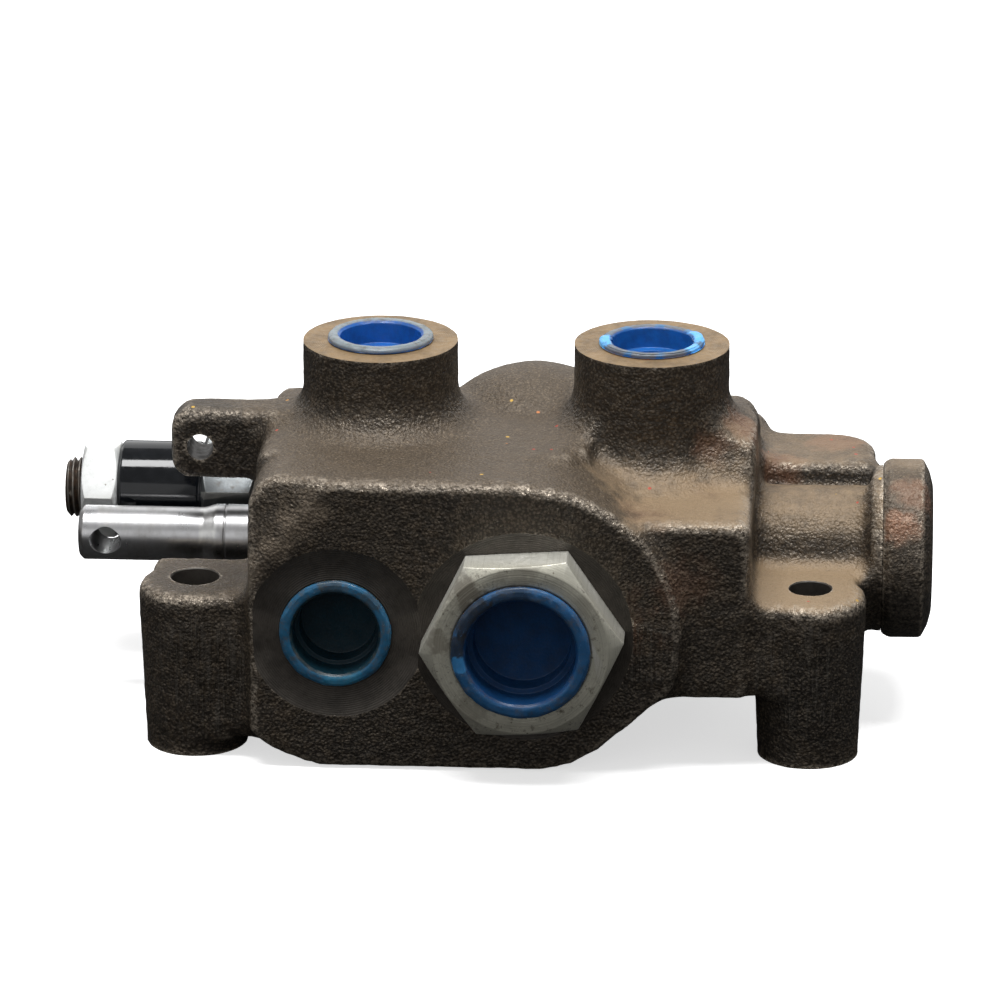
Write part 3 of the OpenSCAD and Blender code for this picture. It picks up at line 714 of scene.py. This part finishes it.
def thread_bore(axis, at, mouth, depth, r, floor_r, reach, chamfer=1.0, pitch=1.6):
    """bore with a chamfered mouth and parallel thread grooves, cut inwards from a face"""
    out = [(mouth, 0), (mouth, r + chamfer + 1.2), (0, r + chamfer), (-chamfer, r)]
    a = -chamfer - 0.5
    while a - pitch > -depth + 1:
        out += [(a, r), (a - pitch * 0.45, r - 0.6), (a - pitch * 0.55, r - 0.6), (a - pitch, r)]
        a -= pitch
    out += [(-depth, r), (-depth - (r - floor_r) * 0.6, floor_r), (-reach, floor_r), (-reach, 0)]
    clean = [out[0]]
    for p in out[1:]:
        if abs(p[0] - clean[-1][0]) + abs(p[1] - clean[-1][1]) > 1e-6:
            clean.append(p)
    return lathe("bore", clean, axis, at, 72)


body_mats = {}


def tool(ob, key):
    """cutting tool whose faces leave this material on the body"""
    ob.data.materials.append(body_mats[key])
    return ob


def spot_face(at, inner_r, outer_r):
    return lathe("tool", [(-spot, 0), (-spot, inner_r), (0.1, outer_r), (4, outer_r), (4, 0)], "-Y", at, 144)


def cut_body(body, cavities):
    """machine the faces and bores, and add the spigot that the cap screws on"""
    steps = [
        tool(block((wa.x - 30, -30, top), (wb.x + 30, 30, top + 12)), "top"),
        tool(block((-140, -90, -12), (140, 90, 0)), "foot"),
        tool(rod("+X", relief_at, relief_face - 14, relief_face, 20.4), "face"),
        tool(rod("+X", hub, neck, neck + 16, 30), "face"),
        tool(spot_face(inlet_at, 21.6, 22.6), "inlet"),
        tool(spot_face(outlet_at, 27.0, 27.9), "outlet"),
        tool(rod("+Y", check_at, 44.4, 50, 14), "face"),
    ]
    bores = [thread_bore("+Z", (w.x, 0, top), 3, 18, 11.1, 6.9, 51) for w in (wa, wb)] + [
        thread_bore("-Y", (inlet.x, front + spot, inlet.z), 3, 19, 13.2, 8, 30),
        thread_bore("-Y", (outlet.x, front + spot, outlet.z), 3, 20.5, 19.2, 12.9, 26, 2.2),
        rod("+X", hub, -70, -62.6, 10.2), rod("+X", hub, -64, 68, 8.0), rod("+X", hub, 66.4, 120, 12),
        rod("+X", relief_at, relief_face - 2, -44, 10.6),
        rod("+Y", check_at, 30, 50, 10), rod("+Y", lug_at, -12, 12, 3.43),
    ]
    for at, r in holes:
        wide = r + 0.75
        bores.append(lathe("tool", [(-2, 0), (-2, r), (pad - 0.35, r), (pad + 0.4, wide), (pad + 9, wide),
                                    (pad + 9, 0)], "+Z", at, 72))
    steps += [tool(b, "bore") for b in bores + cavities]
    boolean(body, "DIFFERENCE", *steps, transfer=True)
    outline = [(neck - 0.4, 12), (neck - 0.4, 17.8), (95.6, 17.8), (95.6, 15.6), (98.2, 15.6), (98.2, 17.8),
               (101.2, 17.8), (101.2, 12)]
    spigot = tool(lathe("spigot", soften(outline, 0.25), "+X", hub), "face")
    boolean(body, "UNION", spigot, transfer=True)
    return shade(body, 38)


body_mats["cast"] = cast_iron(
    "cast_iron_body",
    rust=[((59, -6, 76), 10, 0.55), ((50, -14, 75), 7, 0.35), ((82, 26, 62), 10, 0.55), ((68, 10, 62), 8, 0.55),
          ((36, -40, 66), 10, 0.3), ((50, -26, 66), 8, 0.25), ((30, -44, 40), 14, 0.35),
          ((44, -47, 50), 10, 0.25)],
    tan=[((46, -34, 66), 26, 0.85), ((77, 22, 62), 24, 0.4), ((leg_r.x, leg_r.y, pad), 60, 1.0),
         ((28, -26, 72), 12, 0.5)],
    # painted highlight along the ridge of the leaning facet
    ridge_highlight=[((-48 - 4.7 * k, front + k, 70 - 5.4 * k), 6.0, 0.95) for k in range(4)],
    dark=[((leg_r.x + 8, leg_r.y - 14, 19), 17, 0.6), ((leg_r.x - 12, leg_r.y - 14, 8), 12, 0.35),
          # the first two patches on the next line are painted shade, darker towards the bottom of the port face
          ((20, front, 6), 30, 0.5), ((-30, front, 0), 24, 0.4), ((38, -48, 22), 5, 0.8),
          ((leg_l.x, leg_l.y, pad), 15, 0.45), ((lug.x, -6, lug.z), 16, 0.6)]
    # painted shadow: a dark strip along the corner under the ledge
    + [((x, 7.4, 59.6), 4.4, 0.95) for x in range(67, 92, 3)],
    ground=[((leg_l.x + 12, leg_l.y - 14, 30), 8), ((outlet.x + 31, front, 32), 10),
            ((leg_r.x, leg_r.y - 14, 24), 17), ((leg_l.x, leg_l.y - 14, 20), 19)])
body_mats["top"] = machined_iron("machined_port_face", (0.305, 0.205, 0.105), [("Z", wa, 21), ("Z", wb, 21)],
                                 0.5, 0.3)
body_mats["foot"] = machined_iron("machined_foot", (0.16, 0.13, 0.11))
body_mats["face"] = machined_iron("machined_face", (0.20, 0.17, 0.145))
body_mats["inlet"] = machined_iron("machined_inlet_face", (0.088, 0.077, 0.065), [("Y", inlet, 23)], 0.46, 0.5)
body_mats["outlet"] = machined_iron("machined_outlet_face", (0.072, 0.062, 0.052), [("Y", outlet, 29)],
                                    0.46, 0.5)
body_mats["bore"] = machined_iron("machined_bore", (0.075, 0.066, 0.057), rough=0.5)

body, cavities = rounded_body()
body.data.materials.append(body_mats["cast"])
cut_body(body, cavities)
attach(body, "housing")
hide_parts("valve_body")
assert all(body.data.materials), "a face of the casting has no material"

# ------------------------------------------------------------------ spool
lo, hi = box("spool")
tip, tang_r, land_r = lo.x, 7.05, 7.95
shoulder, ring_x, land_end = -77.6, -75.0, hi.x
outline = [(tip, 0), (tip, tang_r - 1.15), (tip + 1.1, tang_r), (shoulder - 3.1, tang_r), (shoulder, land_r),
           (ring_x - 0.3, land_r), (ring_x - 0.15, land_r - 0.22), (ring_x + 0.15, land_r - 0.22),
           (ring_x + 0.3, land_r)]
for c in (-35, -7.5, 7.5, 35):      # metering grooves
    outline += [(c - 5, land_r), (c - 4.6, 5.2), (c + 4.6, 5.2), (c + 5, land_r)]
outline += [(land_end - 0.5, land_r), (land_end, land_r - 0.5), (land_end, 3.1), (land_end - 16, 3.1),
            (land_end - 17.5, 0)]
spool = lathe("spool_rod", soften(outline, 0.3), "+X", hub, 128)
cross_hole = [(-9, 0), (-9, 4.6), (-tang_r, 4.2), (-6.35, 3.7), (6.35, 3.7), (tang_r, 4.2), (9, 4.6), (9, 0)]
boolean(spool, "DIFFERENCE", lathe("tool", cross_hole, "+Y", (tang_hole.x, 0, spool_z), 64))
shade(spool, 32)
finish(spool, "spool_unit", "ground_steel", ground_steel("ground_spool", [
    (-81.5, -77.0, (0.80, 0.80, 0.78), 0.75), (-113.5, -111.6, (0.35, 0.33, 0.31), 0.5),
    (-67.5, -64, (0.22, 0.19, 0.16), 0.75)]), "spool")


# ------------------------------------------------------------------ relief cartridge
def hex_part(name, axis, at, a0, a1, af, turn, both, bore, edge=0.22):
    """hexagon chamfered to a circle on one or both faces, with a turned bore"""
    far, near = af / 2 / math.cos(math.radians(30)) + 0.5, af / 2 - 0.4
    k = (far - near) * math.tan(math.radians(30))
    ob = prism(name, axis, at, a0, a1, af, turn)
    outline = [(a0, 0), (a0, near), (a0 + k, far), (a1 - (k if both else 0), far), (a1, near if both else far),
               (a1, 0)]
    boolean(ob, "INTERSECT", lathe("tool", outline, axis, at, 128))
    boolean(ob, "DIFFERENCE", lathe("tool", bore, axis, at, 128))
    return bevel(ob, edge)


x0, x1 = box("relief_locknut")[0].x, box("relief_locknut")[1].x
nut = hex_part("relief_locknut_hex", "+X", relief_at, x0, x1, 23.8, 23 - 90, True,
               [(x0 - 1, 0), (x0 - 1, 9.2), (x0, 9.0), (x0 + 1.0, 7.98), (x1 - 1.0, 7.98), (x1, 9.0),
                (x1 + 1, 9.2), (x1 + 1, 0)])
finish(nut, "relief_nut", "zinc",
       zinc("zinc_locknut", "X", relief_at, (0.95, 0.97, 0.96), 0.14, 0.42, False, 0.25), "relief_locknut")

x0, x1 = box("relief_sleeve")[0].x, box("relief_sleeve")[1].x
groove = collar_x - 0.9
sleeve = lathe("relief_sleeve_black", soften([
    (x0, 8.0), (x0, 11.8), (x0 + 0.8, 12.6), (groove - 0.5, 12.6), (groove - 0.2, 12.35), (groove + 0.2, 12.35),
    (groove + 0.5, 12.6), (collar_x, 12.6), (collar_x, 10), (x1, 10), (x1, 8.6), (x0 + 6, 8.6),
    (x0 + 6, 8.0)], 0.22), "+X", relief_at, 128)
finish(sleeve, "housing", "black_sleeve", black_gloss("black_sleeve"), "relief_sleeve")

collar = hex_part("relief_collar_hex", "+X", relief_at, collar_x, relief_face, 28.6, 13.4 - 90, True,
                  [(-85, 0), (-85, 10.1), (-75.2, 10.1), (-75.2, 7), (-60, 7), (-60, 0)], 0.25)
x1 = box("relief_collar")[1].x
boolean(collar, "UNION", lathe("tool", [
    (relief_face - 1, 7), (relief_face - 1, 10.5), (-64.3, 10.5), (-64.3, 8.9), (-61.6, 8.9), (-61.6, 10.5),
    (x1, 10.5), (x1, 7)], "+X", relief_at))
shade(collar, 30)
finish(collar, "housing", "zinc",
       zinc("zinc_collar", "X", relief_at, (0.15, 0.165, 0.175), 0.6, 0.34, False), "relief_collar")


def threaded_rod(name, x0, x1, pitch=1.6, crest=7.88, height=0.95, seg=72, per_turn=8):
    """rod along the relief valve's axis with a real helical thread, slightly rough, and a tapered tip"""
    rows = int((x1 - x0) / pitch * per_turn)
    verts, faces = [], []
    for i in range(rows + 1):
        x = x0 + (x1 - x0) * i / rows
        taper = min(1.0, (x - x0) / 1.1)
        for k in range(seg):
            t = 2 * math.pi * k / seg
            flank = abs((x / pitch - k / seg) % 1.0 - 0.5) * 2
            r = crest - height * (1 - min(1.0, max(0.0, (flank - 0.12) / 0.72)))
            r = min(r, 6.7 + taper * 1.2)
            r += 0.04 * noise.noise(Vector((x * 1.4, math.cos(t) * 7, math.sin(t) * 7)))
            r = min(r, 7.9)
            verts.append(place("+X", relief_at, x, r * math.cos(t), r * math.sin(t)))
    for i in range(rows):
        for k in range(seg):
            k2 = (k + 1) % seg
            faces.append([i * seg + k, i * seg + k2, (i + 1) * seg + k2, (i + 1) * seg + k])
    faces += [list(range(seg)), list(range(rows * seg, rows * seg + seg))]
    return outward(mesh_object(name, verts, faces, 50))


x0, x1 = box("relief_screw")[0].x, box("relief_screw")[1].x
screw = threaded_rod("relief_screw_threaded", x0, x1)
dimple = [(x0 - 1, 0), (x0 - 1, 4.6), (x0, 4.2), (x0 + 0.7, 3.3), (x0 + 0.7, 0)]
boolean(screw, "DIFFERENCE", prism("tool", "+X", relief_at, x0 - 1, x0 + 5, 6.35, 15 - 90),
        lathe("tool", dimple, "+X", relief_at, 64))
shade(screw, 45)
finish(screw, "relief_screw_body", "black_oxide",
       dark_metal("black_screw", (0.030, 0.023, 0.018), 0.42, 0.55), "relief_screw")

# ------------------------------------------------------------------ end cap
x0, x1 = cap_lo.x, cap_hi.x
cap_r = (cap_hi.z - cap_lo.z) / 2
cap = lathe("end_cap_cast", soften([
    (x0 + 0.1, 17.9), (x0 + 0.1, cap_r - 1.1), (x0 + 2.0, cap_r), (x1 - 2.6, cap_r), (x1 - 0.9, cap_r - 3.2),
    (x1, cap_r - 7), (x1, 0), (x0 + 11.4, 0), (x0 + 11.4, 8), (x0 + 7.2, 8), (x0 + 7.2, 17.9)], 0.8, 4),
    "+X", hub, 144)
for v in cap.data.vertices:
    c = v.co / MM
    radial = Vector((0, c.y, c.z - spool_z))
    if radial.length > 18.2:        # only the cast outside is uneven
        v.co -= radial.normalized() * (0.14 + 0.12 * noise.noise(c * 0.14) + 0.08 * noise.noise(c * 0.5)) * MM
shade(cap, 60)
finish(cap, "housing", "cap_iron", cast_iron(
    "cast_iron_cap", rust=[((98.5, -20, 57), 6.5, 0.95), ((103, -12, 62), 8, 0.5)],
    tan=[((101, 3, 66), 12, 0.5)],
    dark=[((100, -20, 27), 14.5, 0.85), ((100, -2, 20), 14, 0.8)], dust_amount=0.9), "end_cap")

# ------------------------------------------------------------------ outlet adapter
y0, seat = front - 10.3, front + spot
adapter_at = (outlet.x, 0, outlet.z)
adapter = hex_part("outlet_adapter_hex", "+Y", adapter_at, y0, seat, 44.45, 90 + 56, False,
                   [(y0 - 1, 0), (y0 - 1, 18.4), (y0, 17.8), (y0 + 1.6, 16.2), (y0 + 24, 16.2), (y0 + 24, 0)],
                   0.28)
stem = [(seat - 1, 12.5), (seat - 1, 18.9)]
a = seat + 3
while a < front + 17:
    stem += [(a, 18.9), (a + 0.9, 18.0), (a + 1.2, 18.0), (a + 2.1, 18.9)]
    a += 2.12
stem += [(seat + 18, 18.3), (seat + 18, 12.5)]
boolean(adapter, "UNION", lathe("tool", stem, "+Y", adapter_at, 96))
shade(adapter, 30)
grimy = [(-14, 15, 8, 0.8), (-21, 3, 6, 0.7), (-13, -16, 7, 0.45), (16, 12, 5, 0.4), (0, 20, 7, 0.5)]
finish(adapter, "housing", "zinc", zinc(
    "zinc_adapter", "Y", adapter_at, (0.72, 0.70, 0.585), 0.85, 0.40, True, 0.6,
    [((outlet.x + x, y0, outlet.z + z), r, amount) for x, z, r, amount in grimy]), "outlet_adapter")


# ------------------------------------------------------------------ plugs
def plug(name, node, body, axis, at, dims, mat, lumps=()):
    """shipping plug: flange of radius rim and thickness t, body outside, stepped cup inside; lumps are
    (angle, size) of the torn places on its rim"""
    rim, t, body_r, body_l, in_r, floor_r, depth = dims
    ledge = -depth * 0.55
    prof = [(-depth, 0), (-depth, floor_r), (ledge, floor_r + 0.12), (ledge, in_r), (t - 0.9, in_r),
            (t - 0.15, in_r + 0.6), (t, in_r + 1.2), (t - 0.05, rim - 0.9), (t - 0.5, rim - 0.15), (0.45, rim),
            (0.02, rim - 0.5), (0.02, body_r - 0.05), (-body_l, body_r - 0.4), (-body_l, 0)]
    ob = lathe(name, soften(prof, 0.25), axis, at, 128, 40)
    base = Vector(at) * MM
    d, u, w = (Vector(q) for q in AXES[axis])
    torn = [math.radians(deg) for deg, _ in lumps]
    for v in ob.data.vertices:
        rel = v.co - base
        a = rel.dot(d) / MM
        rad = rel - d * rel.dot(d)
        r = rad.length / MM
        if a > 0.3 and r > in_r - 0.3:
            n1, n2 = noise.noise(v.co / MM * 0.33), noise.noise(v.co / MM * 1.1)
            th = math.atan2(rad.dot(w), rad.dot(u))
            # a torn rim is beaten down, except where the lumps stand
            gap = min([abs((th - t0 + math.pi) % (2 * math.pi) - math.pi) for t0 in torn] or [0])
            low = 0.45 * min(1, max(0, gap - 0.2) / 0.15) if torn else 0
            v.co -= d * (0.10 + low + 0.10 * n1 + 0.07 * n2) * MM * (1 if a > t * 0.6 else 0.3)
            if r > rim - 1.0:
                v.co -= rad.normalized() * (0.16 + low * 0.9 + 0.20 * n1 + 0.10 * n2) * MM
    for deg, size in lumps:
        for _ in range(7):
            th = math.radians(deg + rng.uniform(-14, 14))
            s = [rng.uniform(0.8, 1.4) * size, rng.uniform(0.7, 1.3) * size, rng.uniform(0.5, 0.8) * size]
            out = rim - max(s[:2]) - rng.uniform(0.0, 1.4)
            c = Vector(at) + d * (t - s[2]) + (u * math.cos(th) + w * math.sin(th)) * out
            bm = bmesh.new()
            bmesh.ops.create_icosphere(bm, subdivisions=2, radius=1)
            for v in bm.verts:
                k = min(0.92 + 0.30 * noise.noise(v.co * 1.9 + c), 1.0)
                v.co = (c + Vector((v.co.x * s[0], v.co.y * s[1], v.co.z * s[2])) * k) * MM
            me = bpy.data.meshes.new("lump")
            bm.to_mesh(me)
            bm.free()
            lump = bpy.data.objects.new("lump", me)
            scene.collection.objects.link(lump)
            boolean(ob, "UNION", lump)
    shade(ob, 42)
    return finish(ob, body, "blue_plastic", mat, node)


def on_rim(r, deg):
    """point on the right work port's plug"""
    return wb.x + r * math.cos(math.radians(deg)), wb.y + r * math.sin(math.radians(deg)), top + 1


def in_port(port, y, patches):
    """patches given as (x, z, radius, amount, tint) from the port's axis, on the plane y"""
    return [((port.x + x, y, port.z + z), r, amount, tint) for x, z, r, amount, tint in patches]


grime, brown_dirt, light_blue = (0.022, 0.019, 0.015), (0.165, 0.135, 0.095), (0.13, 0.45, 0.86)
# rim radius, flange thickness, body radius, body length, cup radius, floor radius, cup depth
work_size, inlet_size = (13.7, 1.8, 10.9, 14, 10.35, 7.7, 8), (14.3, 1.8, 12.9, 16, 10.85, 9.6, 11)
outlet_size = (17.6, 1.8, 15.9, 18, 13.8, 12.2, 12)
plug("plug_work_a_blue", "plug_work_a", "plug_a", "+Z", (wa.x, 0, top), work_size,
     plastic("blue_plug_a", "Z", wa, top + 1.8, 10.4, (0.013, 0.115, 0.42), (0.20, 0.235, 0.255), 0.6))
plug("plug_work_b_blue", "plug_work_b", "plug_b", "+Z", (wb.x, 0, top), work_size,
     plastic("blue_plug_b", "Z", wb, top + 1.8, 10.4, (0.013, 0.125, 0.42), (0.055, 0.17, 0.33), 0.7, spots=[
         (on_rim(12, deg), 4, 0.65, brown_dirt) for deg in (60, 105, 150, 222, 262, 300)] + [
         (on_rim(12.2, deg), r, 1.0, light_blue) for deg, r in ((16, 5.5), (188, 4.2), (330, 3.2))]),
     lumps=((15, 1.1), (188, 1.0)))
plug("plug_inlet_blue", "plug_inlet", "plug_in", "-Y", (inlet.x, front + spot, inlet.z), inlet_size,
     plastic("blue_plug_inlet", "Y", inlet, front + spot - 1.8, 10.9, (0.004, 0.030, 0.048),
             (0.022, 0.125, 0.245), 0.55, spots=in_port(inlet, front - 1, [
                 (-1, 12.5, 4, 0.6, (0.045, 0.05, 0.045)), (9, 9, 3.5, 0.5, (0.05, 0.055, 0.05)),
                 # painted highlight: light-cyan patch on the lower inner edge of the cup
                 (2, -12.2, 6, 0.5, (0.04, 0.26, 0.42))])))
plug("plug_outlet_blue", "plug_outlet", "plug_out", "-Y", (outlet.x, y0, outlet.z), outlet_size,
     plastic("blue_plug_outlet", "Y", outlet, y0 - 1.8, 13.8, (0.006, 0.055, 0.17), (0.020, 0.10, 0.24), 0.5,
             spots=in_port(outlet, front - 12, [
                 (-12, 9, 7, 0.75, grime), (-15, 1, 4.5, 0.75, grime), (-2, 15.5, 6, 0.6, grime),
                 (-15.4, -3.5, 2.6, 0.95, (0.05, 0.25, 0.55))])))

# ------------------------------------------------------------------ carried-over CAD nodes
steel = plain_steel("hard_steel", (0.52, 0.53, 0.54), 0.25)
spring_mat = plain_steel("spring_steel", (0.34, 0.35, 0.36), 0.32)
black_rubber, oxide = rubber("black_rubber"), dark_metal("black_oxide", (0.022, 0.021, 0.021), 0.38, 0.3)
plug_iron = zinc("zinc_check_plug", "Y", check, (0.30, 0.29, 0.26), 0.6, 0.45)
for mat, nodes in (
    (black_rubber, ("spool_seal_left", "spool_seal_right", "spool_wiper", "cap_oring", "relief_oring",
                    "check_oring", "adapter_oring")),
    (steel, ("collar_inner", "collar_outer", "spool_spacer", "relief_seat", "relief_poppet", "relief_guide",
             "check_poppet")),
    (spring_mat, ("centring_spring", "relief_spring", "check_spring")),
    (oxide, ("spool_bolt",)),
    (plug_iron, ("check_plug",)),
):
    for node in nodes:
        ob = frame["nodes"][node]
        ob.data.materials.clear()
        ob.data.materials.append(mat)

# ------------------------------------------------------------------ floor, light, camera
world = bpy.data.worlds.new("studio") if scene.world is None else scene.world
scene.world = world
world.use_nodes = True
world.node_tree.nodes["Background"].inputs["Color"].default_value = (1, 1, 1, 1)
world.node_tree.nodes["Background"].inputs["Strength"].default_value = 0.30


def plane(name, z, color, glow=0.0, size=8):
    me = bpy.data.meshes.new(name)
    corners = [(-size, -size, z), (size, -size, z), (size, size, z), (-size, size, z)]
    me.from_pydata(corners, [], [(0, 1, 2, 3)])
    ob = bpy.data.objects.new(name, me)
    scene.collection.objects.link(ob)
    mat = bpy.data.materials.new(name)
    mat.use_nodes = True
    b = mat.node_tree.nodes["Principled BSDF"]
    b.inputs["Base Color"].default_value = (*color, 1)
    b.inputs["Roughness"].default_value = 0.9
    b.inputs["Specular IOR Level"].default_value = 0.0
    b.inputs["Emission Color"].default_value = (1, 1, 1, 1)
    b.inputs["Emission Strength"].default_value = glow
    me.materials.append(mat)
    return ob


# the camera sees the pale floor, while the valve reflects a dark table, so its lower parts stay dark
floor = plane("floor", 0.0, (0.85, 0.85, 0.85), 0.62)
floor.visible_diffuse = floor.visible_glossy = False
table = plane("table", -0.0005, (0.10, 0.10, 0.10))
table.visible_camera = False


def area(name, loc, aim, sx, sy, radiance):
    li = bpy.data.lights.new(name, "AREA")
    li.shape, li.size, li.size_y = "RECTANGLE", sx, sy
    li.energy = radiance * math.pi * sx * sy
    ob = bpy.data.objects.new(name, li)
    scene.collection.objects.link(ob)
    ob.location = loc
    ob.rotation_euler = (Vector(aim) - Vector(loc)).to_track_quat("-Z", "Y").to_euler()
    ob.visible_camera = False
    return ob


centre = Vector((0, 0, 0.05))
# place in m, aim, width, depth, radiance
area("key", (0.0, -0.16, 1.30), centre, 1.1, 0.40, 15.0)
area("back", (0.0, 2.2, 1.1), centre, 4.0, 2.0, 0.9)
area("front_fill", (-0.9, -1.9, 0.75), centre, 1.6, 1.0, 0.55)

# the camera as fitted to the photograph
azimuth, elevation, distance = math.radians(3.31), math.radians(19.38), 1.51679
target = Vector((-0.0037, -0.0076, 0.0570))
back = Vector((math.sin(azimuth) * math.cos(elevation), -math.cos(azimuth) * math.cos(elevation),
               math.sin(elevation)))
cam_data = bpy.data.cameras.new("camera")
cam_data.sensor_width, cam_data.lens = 36, 212.94
cam_data.clip_start, cam_data.clip_end = 0.05, 50
camera = bpy.data.objects.new("camera", cam_data)
scene.collection.objects.link(camera)
camera.location = target + back * distance
camera.rotation_euler = back.to_track_quat("Z", "Y").to_euler()
scene.camera = camera
scene.view_settings.view_transform = "Standard"
scene.view_settings.look = "None"

bpy.context.view_layer.update()
